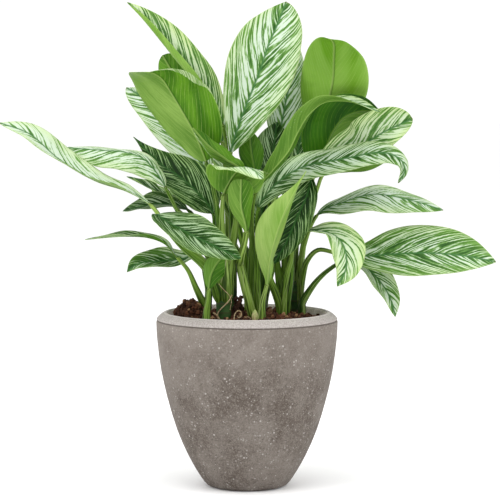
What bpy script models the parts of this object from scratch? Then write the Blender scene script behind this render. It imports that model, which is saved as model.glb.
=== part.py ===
"""A potted Chinese evergreen: striped leaves on long stalks, short ringed canes, soil and a tapered pot."""

import math

import bpy
import numpy as np
from mathutils import Matrix, Vector

MM = 0.001
COLLECTION = "potted_chinese_evergreen"

# The pot, in millimetres: rings (radius, height) up its inner wall, over its rim and down its outer side.
POT_STEPS = 36
POT_INNER = ((0, 18), (50, 19), (72, 50), (88, 95), (104, 150), (111.5, 200), (113.6, 238), (114, 249.5))
POT_OUTER = (
    (115.5, 252), (118.5, 252), (125, 248.4), (130.2, 242.8), (130.2, 241.8), (128.9, 240.4),
    (130.4, 238.8), (129.4, 214), (123.4, 167), (115, 129), (101, 82), (85, 45), (73.5, 24),
    (62, 6.5), (50, 0), (0, 0),
)

# The soil, in millimetres: a low mound that fills the pot, with a heap of crumbs at the left.
SOIL_LEVEL = 250
SOIL_TOP = ((0, SOIL_LEVEL), (45, 249), (82, 245), (105, 240))
SOIL_EDGE_HEIGHT = 238
SOIL_WALL_GAP = 0.45
CRUMB_HEAP = {"place": (-80, 6, 240), "size": (25, 22, 25)}
ROOT_DEPTH = 20
HOLE_GAP = 0.3
HOLE_STEPS = 12
HOLE_CLEARANCE = 40

# The canes: (x, y) of the foot at soil level and of the top, height of the top, and radius.
CANES = {
    "cane_1": {"foot": (-33, -45), "top": (-34, -43), "height": 288, "radius": 10.5},
    "cane_2": {"foot": (8, -40), "top": (-9, -37), "height": 312, "radius": 5.2},
    "cane_3": {"foot": (6, 6), "top": (5, 6), "height": 282, "radius": 8.5},
    "cane_4": {"foot": (52, 4), "top": (52, 4), "height": 285, "radius": 8.5},
    "cane_5": {"foot": (72, 58), "top": (72, 58), "height": 295, "radius": 10.0},
    "cane_6": {"foot": (-24, 32), "top": (-24, 32), "height": 288, "radius": 9.5},
    "cane_7": {"foot": (20, 64), "top": (20, 64), "height": 286, "radius": 9.5},
    "cane_8": {"foot": (-58, 8), "top": (-59, 8), "height": 270, "radius": 6.0},
}
CANE_STEPS = 10
RING_SPACING = 13
RING_RISE = 0.5
CANE_BEVEL = 1.3

# How the plant is seen: the picture's column of the pot's axis and row of its foot, the size of a
# pixel on the plane through the axis, and the viewer's distance and height in millimetres.
AXIS_PX = 247.0
FOOT_PX = 486.3
MM_PER_PX = 1.4365
EYE_DISTANCE = 3200.0
EYE_HEIGHT = 580.0

# Stalks and blades, in millimetres.
STALK_ROOT_RADIUS = 3.5
STALK_END_RADIUS = 2.5
STALK_LEAD = 12
STALK_INSET = 0.3
END_GAP = 0.5
SIDE_GAP = 0.2
BLADE_THICKNESS = 0.9
RIB_DEPTH = 1.6
TIP_RADIUS = 0.7

# How finely a leaf is divided: along its stalk, along its blade and across it.
STALK_STEPS = 6
BLADE_STEPS = 10
SIDE_STEPS = 4
STATION_SHIFT = 0.06

# What a blade does unless its own values say otherwise, and how its margin waves.
RISE = (14, 10)
OUTLINE = (1.0, 1.0)
OPENING_RATE = 6
WAVE_COUNT = 2.2
WAVE_STEP = 0.37
WAVE_HEIGHT = 1.5


def leaf(root, stalk_px, rib_px, width, faces, left=RISE, right=RISE, outline=OUTLINE):
    """One leaf. Its root is a cane, an angle about it and a height (none on the cane's end), or a
    place in the soil. Stalk and rib points are the (column, row) of a pixel of the picture and a
    depth in millimetres behind the pot's axis. Faces are the ways its upper side faces from base
    to tip. Left and right give how steeply each half rises at the rib and how much more it does
    by its margin, in degrees. Outline is how slowly it widens from its base and narrows to its tip,
    once for both halves or for the left and then the right one."""
    return {
        "root": root,
        "stalk_px": stalk_px,
        "rib_px": rib_px,
        "width": width,
        "faces": faces,
        "left": left,
        "right": right,
        "outline": (outline[:2], outline[-2:]),
    }


LEAVES = {
    "leaf_01": leaf(
        root=("cane_1", 165, 276),
        stalk_px=((210, 271, -50), (182, 241, -46), (163, 219, -40)),
        rib_px=(
            (149, 202, -32), (128, 190, -24), (95, 179, -12), (58, 157, 0), (30, 133, 10),
            (0, 122, 20),
        ),
        width=60,
        faces=((0, -0.1, 1), (0, -0.1, 1), (0, -0.7, 0.7)),
    ),
    "leaf_02": leaf(
        root=("cane_6", 215, 270),
        stalk_px=((205, 250, 10), (183, 220, 4)),
        rib_px=(
            (165, 185, 2), (155, 169, 4), (143, 157, 10), (125, 151, 18), (100, 149, 30),
            (61.5, 146, 45),
        ),
        width=66,
        faces=((0.3, -0.5, 0.8), (0, -0.5, 0.85)),
        left=(-20, -10),
        right=(-20, -5),
        outline=(0.8, 1),
    ),
    "leaf_03": leaf(
        root=("cane_6", 140, 264),
        stalk_px=((200, 235, 60),),
        rib_px=((172, 203, 80), (157, 191, 90), (127, 175.5, 105)),
        width=34,
        faces=((0, -0.1, 1),),
    ),
    "leaf_04": leaf(
        root=("cane_6", 135, None),
        stalk_px=((214, 210, 50),),
        rib_px=((206, 174, 58), (189, 142, 78), (161, 107, 100), (127, 87, 125)),
        width=74,
        faces=((-0.2, -1, 0.3),),
        outline=(0.75, 0.7, 0.75, 1.1),
    ),
    "leaf_05": leaf(
        root=("cane_6", 225, None),
        stalk_px=((215, 240, 24),),
        rib_px=((213, 212, 24), (197, 191, 31), (180, 176, 40), (161, 163, 50), (134, 136, 66)),
        width=72,
        faces=((0.3, -0.9, 0.4),),
        outline=(0.75, 1.6),
    ),
    "leaf_06": leaf(
        root=("cane_6", 180, 250),
        stalk_px=((205, 238, 38),),
        rib_px=((187, 208, 44), (160, 203, 48), (123, 210, 64)),
        width=48,
        faces=((0, -0.5, 0.9),),
    ),
    "leaf_07": leaf(
        root=("cane_1", 150, None),
        stalk_px=((219, 225, -40), (213, 185, -30)),
        rib_px=(
            (206, 160, -25), (196, 135, -36), (184, 113, -48), (172, 93, -62), (163, 79, -82),
            (155, 73, -102), (150, 71.5, -116),
        ),
        width=108,
        faces=((0.15, 1, 0.1), (0.35, 1, 0.3), (0, 0.5, 0.85)),
        left=(0, 0),
        right=(14, 0),
        outline=(0.65, 0.6, 0.7, 0.38),
    ),
    "leaf_08": leaf(
        root=("cane_6", 45, None),
        stalk_px=((230, 190, 42),),
        rib_px=(
            (222, 122, 45), (203, 84, 60), (185, 62, 75), (165, 38, 95), (145, 17, 112),
            (128.4, 2.7, 125),
        ),
        width=56,
        faces=((0.2, -0.9, 0.3),),
        left=(-15, 185),
        right=(8, 8),
        outline=(0.9, 1),
    ),
    "leaf_09": leaf(
        root=("cane_7", 190, None),
        stalk_px=((215, 180, 78),),
        rib_px=((200, 125, 90), (182, 88, 104), (163, 55, 120)),
        width=56,
        faces=((0.2, 1, 0.2),),
        outline=(0.9, 0.5),
    ),
    "leaf_10": leaf(
        root=("cane_3", 160, None),
        stalk_px=((243, 245, 6), (232, 190, 2)),
        rib_px=(
            (231, 151, 0), (239.5, 122.5, 3), (246, 105, 8), (255, 83, 16), (262, 64, 26),
            (269, 43, 36), (277, 25, 46), (286, 2, 60),
        ),
        width=102,
        faces=((0, -1, 0.15),),
        left=(8, 6),
        right=(8, 6),
        outline=(1.3, 1.0, 0.85, 0.62),
    ),
    "leaf_11": leaf(
        root=("cane_7", -60, None),
        stalk_px=((272, 200, 62),),
        rib_px=((277, 150, 70), (284, 110, 78), (291, 75, 88), (298, 45, 100)),
        width=58,
        faces=((-0.2, -1, 0.2),),
    ),
    "leaf_12": leaf(
        root=("cane_4", 150, None),
        stalk_px=((270, 220, 20),),
        rib_px=((270, 180, 26), (273, 150, 38), (277, 121, 50)),
        width=60,
        faces=((0.1, -1, 0.15),),
    ),
    "leaf_13": leaf(
        root=("cane_5", 190, None),
        stalk_px=((296, 225, 42), (306, 190, 26)),
        rib_px=(
            (318, 166, 26), (325, 147, 20), (333, 129, 12), (344, 116, 2), (361, 110, -8),
            (381, 112, -20),
        ),
        width=84,
        faces=((-0.2, 1, 0.1), (-0.3, 1, 0.2), (-0.5, 0.8, 0.5)),
        left=(14, 0),
        right=(8, 0),
        outline=(1.3, 1.0, 0.6, 0.9),
    ),
    "leaf_14": leaf(
        root=("cane_5", 110, None),
        stalk_px=((298, 230, 62), (312, 180, 55)),
        rib_px=(
            (322, 140, 40), (326, 110, 22), (332, 80, -5), (333, 57, -38), (333, 44, -70),
            (330, 39, -98),
        ),
        width=106,
        faces=((0.28, 1, 0.3),),
        left=(20, 0),
        right=(20, 0),
        outline=(0.8, 1.1),
    ),
    "leaf_15": leaf(
        root=("cane_4", 30, None),
        stalk_px=((284, 235, 8), (294, 190, 10)),
        rib_px=(
            (309, 170, 6), (330, 160, -6), (345, 152, -18), (360, 146, -29), (382, 132, -42),
            (412, 118, -58),
        ),
        width=74,
        faces=((-0.1, -0.75, 0.6), (0, -0.9, 0.4)),
        outline=(0.8, 0.5, 0.8, 0.6),
    ),
    "leaf_16": leaf(
        root=("cane_3", -90, None),
        stalk_px=((252, 240, -15), (252, 215, -25)),
        rib_px=(
            (256, 189, -35), (274, 167, -48), (288, 150, -55), (298, 130, -60), (308, 114, -65),
            (323, 102, -70), (340, 100, -74), (358, 103, -78), (380, 112, -82),
        ),
        width=48,
        faces=((-0.55, 0.6, 0.5), (-0.4, 0.5, 0.8), (-0.1, 0.1, 1), (0.1, -0.5, 0.8)),
    ),
    "leaf_17": leaf(
        root=("soil", 14, -22),
        stalk_px=((257, 280, -22), (257, 240, -20)),
        rib_px=(
            (259, 206, -14), (272, 187, -9), (290, 172, -12), (309, 164, -22), (330, 160, -38),
            (352, 156, -54), (372, 152, -72), (390, 153, -80), (402, 161, -82), (404, 170, -82),
            (398, 182, -80),
        ),
        width=46,
        faces=((-0.3, -0.8, 0.5), (-0.1, -0.75, 0.6), (0, -0.8, 0.6), (0.3, -0.8, 0.5), (0.85, -0.5, 0.2)),
        left=(5, 0),
        right=(-5, -10),
        outline=(0.5, 0.7),
    ),
    "leaf_18": leaf(
        root=("cane_5", -40, None),
        stalk_px=((304, 244, 34),),
        rib_px=((318, 213, 28), (343, 201, 22), (373, 193, 15), (410, 199, 8), (443, 209, 0)),
        width=64,
        faces=((0, -0.5, 0.85),),
        left=(-8, -5),
        right=(-12, -10),
    ),
    "leaf_19": leaf(
        root=("cane_5", -38, 280),
        stalk_px=((306, 262, 30), (318, 249, 22)),
        rib_px=(
            (340, 253, 14), (368, 255, 4), (395, 253, -4), (428, 252, -12), (465, 255, -22),
            (496, 261, -32),
        ),
        width=90,
        faces=((0, -0.75, 0.65),),
        left=(8, 10),
        right=(4, 6),
        outline=(1.1, 0.95),
    ),
    "leaf_20": leaf(
        root=("cane_4", -90, None),
        stalk_px=((290, 262, -12), (294, 241, -12)),
        rib_px=(
            (302, 231, -16), (318, 230, -30), (334, 234, -48), (344, 246, -68), (346, 267, -80),
            (337.5, 285.5, -86),
        ),
        width=62,
        faces=((-0.2, -0.1, 1), (0.4, -0.6, 0.7), (0.3, -0.95, 0.1)),
    ),
    "leaf_21": leaf(
        root=("soil", 80, 34),
        stalk_px=((302, 303, 34), (316, 281, 32), (330, 268, 30)),
        rib_px=((345, 260, 28), (362, 264, 22), (378, 278, 16), (390, 297, 8), (395.6, 316, 4)),
        width=44,
        faces=((0.2, -0.5, 0.85), (0.5, -0.8, 0.3)),
    ),
    "leaf_22": leaf(
        root=("cane_4", -15, 268),
        stalk_px=((291, 245, -2), (303, 205, 0)),
        rib_px=((311, 178, -6), (307, 194, -20), (298, 214, -28), (287, 240, -33), (274, 263, -34)),
        width=50,
        faces=((0, -0.8, 0.6), (-0.1, -1, 0.2)),
    ),
    "leaf_23": leaf(
        root=("soil", 21.5, -52),
        stalk_px=((263, 300, -53),),
        rib_px=(
            (267, 283, -56), (269, 264, -64), (274, 242, -77), (283, 215, -94), (295, 190, -108),
            (306, 170, -118),
        ),
        width=62,
        faces=((0, 1, 0.1),),
        left=(72, 0),
        right=(12, 10),
        outline=(1.7, 2.3),
    ),
    "leaf_24": leaf(
        root=("cane_4", 205, 262),
        stalk_px=((266, 260, -34),),
        rib_px=((270, 236, -50), (273, 215, -55), (275.5, 196, -58)),
        width=16,
        faces=((0, 1, 0),),
        left=(55, 0),
        right=(55, 0),
    ),
    "leaf_25": leaf(
        root=("cane_2", 0, None),
        stalk_px=((241, 255, -58),),
        rib_px=((246, 230, -66), (241, 205, -74), (241, 178, -82)),
        width=38,
        faces=((0, 1, 0.1),),
        outline=(1.0, 0.45),
    ),
    "leaf_26": leaf(
        root=("cane_1", -60, None),
        stalk_px=((223, 250, -55), (222, 215, -58)),
        rib_px=(
            (224, 192, -60), (229, 181, -64), (236, 171, -72), (244, 166, -86), (252, 168, -102),
            (263, 178, -112),
        ),
        width=88,
        faces=((0.1, 1, 0.2), (0.1, 0.9, 0.45), (0.15, 0.13, 1), (0.3, -0.2, 0.9), (0.5, -0.5, 0.7)),
        left=(-5, 0),
        right=(-8, -10),
        outline=(0.6, 0.9),
    ),
    "leaf_27": leaf(
        root=("cane_1", 20, None),
        stalk_px=((234, 235, -48), (240, 195, -46)),
        rib_px=((242, 170, -46), (227, 159, -52), (209, 145, -64), (193, 127, -78)),
        width=30,
        faces=((0.4, 0.8, 0.45),),
        left=(80, 0),
        right=(15, 0),
        outline=(0.6, 0.9),
    ),
    "leaf_28": leaf(
        root=("cane_3", 60, None),
        stalk_px=((259, 225, 12),),
        rib_px=((255, 174, 12), (251, 150, 14), (249, 128, 18)),
        width=38,
        faces=((0, 1, 0.1),),
    ),
    "leaf_29": leaf(
        root=("cane_1", 205, 268),
        stalk_px=((209, 270, -58), (181, 244, -60), (163, 223, -64)),
        rib_px=((156, 213, -72), (168, 221, -88), (188, 232, -104), (212, 244, -114), (241, 257.5, -118)),
        width=60,
        faces=((0.2, -0.4, 0.9), (-0.1, -0.75, 0.65), (0, -0.9, 0.4)),
        outline=(0.65, 0.85),
    ),
    "leaf_30": leaf(
        root=("cane_8", 200, None),
        stalk_px=((200, 293, 0), (188, 269, -2)),
        rib_px=((177, 256, -4), (166, 243, -4), (150, 236.5, -2), (125, 235, 4), (85, 238.5, 10)),
        width=32,
        faces=((0, -0.06, 1),),
    ),
    "leaf_31": leaf(
        root=("cane_8", 60, 256),
        stalk_px=((206, 278, 24),),
        rib_px=((198, 253, 24), (182, 258, 20), (165, 260, 15), (138, 263, 8), (127, 271, 4)),
        width=46,
        faces=((0, -0.6, 0.8),),
    ),
    "leaf_32": leaf(
        root=("soil", -57, -68),
        stalk_px=((208, 300, -69),),
        rib_px=((209, 287, -72), (211, 274, -78), (217, 262, -86), (224, 255, -92)),
        width=34,
        faces=((0.4, 0.9, 0.2),),
    ),
    "leaf_33": leaf(
        root=("cane_7", 110, None),
        stalk_px=((245, 210, 110),),
        rib_px=((240, 185, 140), (236, 165, 175), (232, 165, 215), (228, 180, 250)),
        width=84,
        faces=((0, -1, 0.4), (0, -0.1, 1), (0, 0.9, 0.4)),
    ),
    "leaf_34": leaf(
        root=("cane_7", 150, 270),
        stalk_px=((224, 225, 108),),
        rib_px=((205, 205, 125), (188, 195, 160), (170, 195, 195), (158, 205, 222)),
        width=78,
        faces=((0.3, -0.6, 0.6), (0, 0, 1), (-0.3, 0.7, 0.6)),
    ),
    "leaf_35": leaf(
        root=("cane_7", 30, 270),
        stalk_px=((281, 225, 104),),
        rib_px=((287, 200, 112), (293, 175, 120), (298, 150, 128), (303, 126, 138)),
        width=64,
        faces=((0, -1, 0.2),),
    ),
    "leaf_36": leaf(
        root=("cane_7", 75, 255),
        stalk_px=((262, 262, 108),),
        rib_px=((264, 240, 122), (262, 217, 136), (262, 194, 146), (264, 172, 154)),
        width=56,
        faces=((0, -1, 0.2),),
    ),
    "leaf_37": leaf(
        root=("cane_6", 90, 258),
        stalk_px=((228, 250, 70), (227, 212, 82)),
        rib_px=((222, 140, 108), (212, 115, 135), (200, 100, 170), (190, 98, 205)),
        width=80,
        faces=((0.1, -1, 0.3), (0, -0.3, 1), (-0.1, 0.6, 0.8)),
    ),
    "leaf_38": leaf(
        root=("cane_5", 35, None),
        stalk_px=((308, 220, 48), (317, 188, 44)),
        rib_px=((324, 172, 40), (346, 163, 26), (370, 159, 14), (395, 152, 4)),
        width=34,
        faces=((0, 1, 0.15),),
    ),
}


def unit(vectors):
    """Vectors made one unit long."""
    vectors = np.asarray(vectors, float)
    return vectors / np.linalg.norm(vectors, axis=-1, keepdims=True)


def seen(column_px, row_px, depth):
    """The point at this depth that is seen at this pixel."""
    scale = (EYE_DISTANCE + depth) / EYE_DISTANCE
    across = (column_px - AXIS_PX) * MM_PER_PX * scale
    height = EYE_HEIGHT + ((FOOT_PX - row_px) * MM_PER_PX - EYE_HEIGHT) * scale
    return np.array((across, depth, height))


def curve_through(points, per_span=16):
    """A fine polyline through the points, the length along it, and the length at each point."""
    points = np.asarray(points, float)
    spans = np.sqrt(np.linalg.norm(np.diff(points, axis=0), axis=1))
    knots = np.concatenate(([0], np.cumsum(spans)))
    slopes = np.gradient(points, knots, axis=0)
    share = np.linspace(0, 1, per_span, endpoint=False)[:, None]
    pieces = []
    for here, span in enumerate(spans):
        pieces.append(
            points[here] * (1 + 2 * share) * (1 - share) ** 2
            + slopes[here] * span * share * (1 - share) ** 2
            + points[here + 1] * share**2 * (3 - 2 * share)
            + slopes[here + 1] * span * share**2 * (share - 1)
        )
    line = np.concatenate(pieces + [points[-1:]])
    along = np.concatenate(([0], np.cumsum(np.linalg.norm(np.diff(line, axis=0), axis=1))))
    return line, along, along[::per_span]


def on_line(line, along, places):
    """Points and directions at these lengths along a polyline."""
    slopes = np.gradient(line, along, axis=0)
    points = np.stack([np.interp(places, along, line[:, axis]) for axis in range(3)], axis=1)
    ways = np.stack([np.interp(places, along, slopes[:, axis]) for axis in range(3)], axis=1)
    return points, unit(ways)


def cane_axis(cane, height):
    """The middle of a cane at this height."""
    share = (height - SOIL_LEVEL) / (cane["height"] - SOIL_LEVEL)
    foot = np.array(cane["foot"], float)
    return np.append(foot + (np.array(cane["top"]) - foot) * share, height)


def cane_rise(cane):
    """The direction a cane grows in."""
    return unit(cane_axis(cane, cane["height"]) - cane_axis(cane, SOIL_LEVEL))


def stalk_start(root):
    """Where a stalk starts and the point above it: in the soil, on a cane's end or at its side."""
    if root[0] == "soil":
        foot = np.array((root[1], root[2], SOIL_LEVEL - ROOT_DEPTH), float)
        return [foot, foot + (0, 0, ROOT_DEPTH + STALK_LEAD / 2)]
    cane = CANES[root[0]]
    angle = math.radians(root[1])
    outward = np.array((math.cos(angle), math.sin(angle), 0))
    rise = cane_rise(cane)
    if root[2] is None:
        inset = cane["radius"] - STALK_ROOT_RADIUS - STALK_INSET
        place = cane_axis(cane, cane["height"]) + rise * END_GAP + outward * inset
    else:
        reach = cane["radius"] + RING_RISE + STALK_ROOT_RADIUS + SIDE_GAP
        place = cane_axis(cane, root[2]) + outward * reach
    return [place, place + rise * STALK_LEAD + outward / 2]


def blade_share(share, outline):
    """The half width of a blade at a share of its length, as a share of the widest."""
    rise, fall = outline
    widest = rise / (rise + fall)
    return (share / widest) ** rise * ((1 - share) / (1 - widest)) ** fall


def half_section(across, half_width, rise):
    """How far out and up from the rib a half blade is at a share of its width, and its slope."""
    slope, curl = math.radians(rise[0]), math.radians(rise[1])
    angle = slope + curl * across
    if curl == 0:
        return across * half_width * math.cos(slope), across * half_width * math.sin(slope), angle
    out = half_width * (math.sin(angle) - math.sin(slope)) / curl
    up = half_width * (math.cos(slope) - math.cos(angle)) / curl
    return out, up, angle


def leaf_frames(spec, stalk_steps, blade_steps):
    """Down a leaf: its points, the ways along, up and right, and each blade ring's share of the blade."""
    stalk = stalk_start(spec["root"]) + [seen(*point) for point in spec["stalk_px"]]
    rib = [seen(*point) for point in spec["rib_px"]]
    line, along, knots = curve_through(stalk + rib)
    base = knots[len(stalk)]
    shares = np.linspace(0, 1, blade_steps + 1)
    shares = shares - STATION_SHIFT * np.sin(2 * np.pi * shares)
    stalk_places = np.linspace(0, base, stalk_steps, endpoint=False)
    places = np.concatenate((stalk_places, base + shares * (along[-1] - base)))
    points, ways = on_line(line, along, places)
    faces = np.array(spec["faces"], float)
    face_places = np.linspace(0, 1, len(faces))
    ups = np.zeros_like(points)
    for axis in range(3):
        ups[stalk_steps:, axis] = np.interp(shares, face_places, faces[:, axis])
    for ring in range(stalk_steps, len(points)):
        ups[ring] = unit(ups[ring] - ways[ring] * np.dot(ups[ring], ways[ring]))
    for ring in range(stalk_steps - 1, -1, -1):
        ups[ring] = unit(ups[ring + 1] - ways[ring] * np.dot(ups[ring + 1], ways[ring]))
    return points, ups, np.cross(ways, ups), shares


def blade_ring(spec, phase, share, point, up, right, side_steps):
    """A cross-section of a blade: its upper side left to right, then its underside right to left."""
    slim = STALK_END_RADIUS + (TIP_RADIUS - STALK_END_RADIUS) * share
    opened = min(1.0, OPENING_RATE * share)
    upper, under = [], []
    for side in np.linspace(-1, 1, side_steps + 1):
        sign = -1 if side < 0 else 1
        shape = blade_share(share, spec["outline"][side > 0])
        half = spec["width"] / 2 * shape + slim * (1 - shape)
        first, more = spec["left"] if side < 0 else spec["right"]
        out, height, angle = half_section(abs(side), half, (first * opened, more * opened))
        wave = math.sin(2 * math.pi * (WAVE_COUNT * share + phase) + sign)
        height += WAVE_HEIGHT * shape * side**2 * wave
        middle = point + right * sign * out + up * height
        normal = up * math.cos(angle) - right * sign * math.sin(angle)
        below = BLADE_THICKNESS / 2
        if side == 0:
            normal = up
            below += RIB_DEPTH * (1 - 0.8 * share)
        upper.append(middle + normal * BLADE_THICKNESS / 2)
        under.append(middle - normal * below)
    return np.array(upper + under[::-1])


def leaf_rings(spec, phase, stalk_steps=STALK_STEPS, blade_steps=BLADE_STEPS, side_steps=SIDE_STEPS):
    """The cross-sections of a leaf, from its root to its tip."""
    points, ups, rights, shares = leaf_frames(spec, stalk_steps, blade_steps)
    count = 2 * side_steps + 2
    turns = np.pi - (np.arange(count)[:, None] + 0.5) * 2 * np.pi / count
    rings = []
    for ring in range(stalk_steps):
        radius = STALK_ROOT_RADIUS + (STALK_END_RADIUS - STALK_ROOT_RADIUS) * ring / stalk_steps
        rings.append(points[ring] + radius * (np.cos(turns) * rights[ring] + np.sin(turns) * ups[ring]))
    for step, share in enumerate(shares):
        ring = stalk_steps + step
        rings.append(blade_ring(spec, phase, share, points[ring], ups[ring], rights[ring], side_steps))
    return np.array(rings)


def ring_triangles(ring_count, side_steps):
    """Triangles of a leaf's skin, split alike on its upper side and its underside, and its two ends."""
    count = 2 * side_steps + 2
    triangles = []
    for ring in range(ring_count - 1):
        here, there = ring * count, (ring + 1) * count
        for spot in range(count):
            after = (spot + 1) % count
            a, b, c, d = here + spot, here + after, there + after, there + spot
            above = spot <= side_steps
            left_half = (spot if above else count - 2 - spot) < side_steps / 2
            triangles += [(a, b, c), (a, c, d)] if left_half == above else [(a, b, d), (b, c, d)]
    first, last = ring_count * count, ring_count * count + 1
    end = (ring_count - 1) * count
    for spot in range(count):
        after = (spot + 1) % count
        triangles += [(first, after, spot), (last, end + spot, end + after)]
    return triangles


def linear(red, green, blue):
    """Linear colour values of a colour given as 0 to 255."""
    return tuple((value / 255) ** 2.2 for value in (red, green, blue)) + (1.0,)


def material(name, colour, roughness):
    """A plain finish for one sub-part."""
    made = bpy.data.materials.new(name)
    made.use_nodes = True
    shader = made.node_tree.nodes["Principled BSDF"]
    shader.inputs["Base Color"].default_value = linear(*colour)
    shader.inputs["Roughness"].default_value = roughness
    shader.inputs["Metallic"].default_value = 0.0
    return made


def add_object(name, mesh, finish, collection):
    made = bpy.data.objects.new(name, mesh)
    mesh.materials.append(finish)
    collection.objects.link(made)
    return made


def turned(name, profile, steps, finish, collection):
    """A solid turned about Z from a profile of (radius, height) in millimetres, axis to axis."""
    mesh = bpy.data.meshes.new(name)
    points = [(radius * MM, 0, height * MM) for radius, height in profile]
    edges = [(spot, spot + 1) for spot in range(len(points) - 1)]
    mesh.from_pydata(points, edges, [])
    made = add_object(name, mesh, finish, collection)
    screw = made.modifiers.new("turn", "SCREW")
    screw.steps = screw.render_steps = steps
    screw.use_merge_vertices = True
    screw.merge_threshold = 0.00001
    screw.use_smooth_shade = False
    return made


def stand_along(made, foot, way):
    """Puts an object's origin on a foot and its Z axis along a direction."""
    turn = Vector((0, 0, 1)).rotation_difference(Vector(way)).to_matrix().to_4x4()
    made.matrix_world = Matrix.Translation(Vector(foot) * MM) @ turn


def use_as_cutter(made, cutters):
    for holder in list(made.users_collection):
        holder.objects.unlink(made)
    cutters.objects.link(made)
    made.hide_render = True
    made.display_type = "WIRE"


def build_pot(collection):
    finish = material("pot", (128, 120, 112), 0.85)
    return turned("pot", POT_INNER + POT_OUTER, POT_STEPS, finish, collection)


def soil_profile():
    """The soil's top, then its side and floor a small gap inside the pot's inner wall."""
    heights = [height for radius, height in POT_INNER]
    radii = [radius for radius, height in POT_INNER]
    edge = float(np.interp(SOIL_EDGE_HEIGHT, heights, radii)) - SOIL_WALL_GAP
    profile = list(SOIL_TOP) + [(edge, SOIL_EDGE_HEIGHT)]
    for radius, height in reversed(POT_INNER[1:-2]):
        profile.append((radius - SOIL_WALL_GAP, height + SOIL_WALL_GAP))
    profile.append((0, heights[0] + 1 + SOIL_WALL_GAP))
    return profile


def standing_pieces():
    """Foot, direction and radius of each piece that stands in the soil."""
    pieces = []
    for cane in CANES.values():
        foot = cane_axis(cane, SOIL_LEVEL - ROOT_DEPTH)
        pieces.append((foot, cane_rise(cane), cane["radius"] + RING_RISE))
    for spec in LEAVES.values():
        if spec["root"][0] == "soil":
            pieces.append((stalk_start(spec["root"])[0], (0, 0, 1), STALK_ROOT_RADIUS))
    return pieces


def crumb_heap(cutters):
    """A low round heap that is joined to the soil."""
    place = Vector(CRUMB_HEAP["place"]) * MM
    bpy.ops.mesh.primitive_ico_sphere_add(subdivisions=2, radius=MM, location=place)
    heap = bpy.context.active_object
    heap.name = "crumb_heap"
    heap.scale = CRUMB_HEAP["size"]
    use_as_cutter(heap, cutters)
    return heap


def hole_cutter(name, foot, way, radius, cutters):
    """A cutter for the hole that a cane or a stalk stands in, open at the top."""
    depth = ROOT_DEPTH + HOLE_CLEARANCE
    wide = (radius + HOLE_GAP) / math.cos(math.pi / HOLE_STEPS)
    bpy.ops.mesh.primitive_cylinder_add(vertices=HOLE_STEPS, radius=wide * MM, depth=depth * MM)
    cutter = bpy.context.active_object
    cutter.name = name
    cutter.data.transform(Matrix.Translation((0, 0, (depth / 2 - HOLE_GAP) * MM)))
    stand_along(cutter, foot, way)
    use_as_cutter(cutter, cutters)
    return cutter


def build_soil(collection, cutters):
    finish = material("soil", (62, 44, 33), 0.95)
    soil = turned("soil", soil_profile(), POT_STEPS, finish, collection)
    join = soil.modifiers.new("heap", "BOOLEAN")
    join.operation = "UNION"
    join.object = crumb_heap(cutters)
    for number, (foot, way, radius) in enumerate(standing_pieces(), start=1):
        cutter = hole_cutter(f"hole_{number}", foot, way, radius, cutters)
        cut = soil.modifiers.new(cutter.name, "BOOLEAN")
        cut.operation = "DIFFERENCE"
        cut.object = cutter
    return soil


def build_cane(name, cane, collection):
    """A short ringed cane that stands in the soil."""
    foot = cane_axis(cane, SOIL_LEVEL - ROOT_DEPTH)
    top = cane_axis(cane, cane["height"])
    length = float(np.linalg.norm(top - foot))
    radius = cane["radius"]
    profile = [(0, length), (radius - CANE_BEVEL, length), (radius, length - CANE_BEVEL)]
    height = length - RING_SPACING / 2
    while height > ROOT_DEPTH - RING_SPACING / 2:
        profile += [(radius + RING_RISE, height), (radius, height - RING_SPACING / 2)]
        height -= RING_SPACING
    profile += [(radius, 0), (0, 0)]
    made = turned(name, profile, CANE_STEPS, material(name, (58, 92, 52), 0.6), collection)
    stand_along(made, foot, cane_rise(cane))
    return made


def build_leaf(name, spec, number, collection):
    """A stalk and its blade as one closed skin, lofted through unlike sections."""
    rings = leaf_rings(spec, number * WAVE_STEP)
    ends = [rings[0].mean(axis=0), rings[-1].mean(axis=0)]
    points = np.concatenate((rings.reshape(-1, 3), ends)) * MM
    mesh = bpy.data.meshes.new(name)
    mesh.from_pydata(points.tolist(), [], ring_triangles(len(rings), SIDE_STEPS))
    mesh.update()
    return add_object(name, mesh, material(name, (112, 158, 92), 0.5), collection)


def main():
    for old in list(bpy.data.objects):
        bpy.data.objects.remove(old, do_unlink=True)
    plant = bpy.data.collections.new(COLLECTION)
    cutters = bpy.data.collections.new("cutters")
    for made in (plant, cutters):
        bpy.context.scene.collection.children.link(made)
    cutters.hide_render = True
    build_pot(plant)
    build_soil(plant, cutters)
    for name, cane in CANES.items():
        build_cane(name, cane, plant)
    for number, (name, spec) in enumerate(LEAVES.items()):
        build_leaf(name, spec, number, plant)


main()
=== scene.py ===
"""The looks of a potted Chinese evergreen: living leaves, ringed canes, crumbly soil and a concrete pot."""

import math

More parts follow.
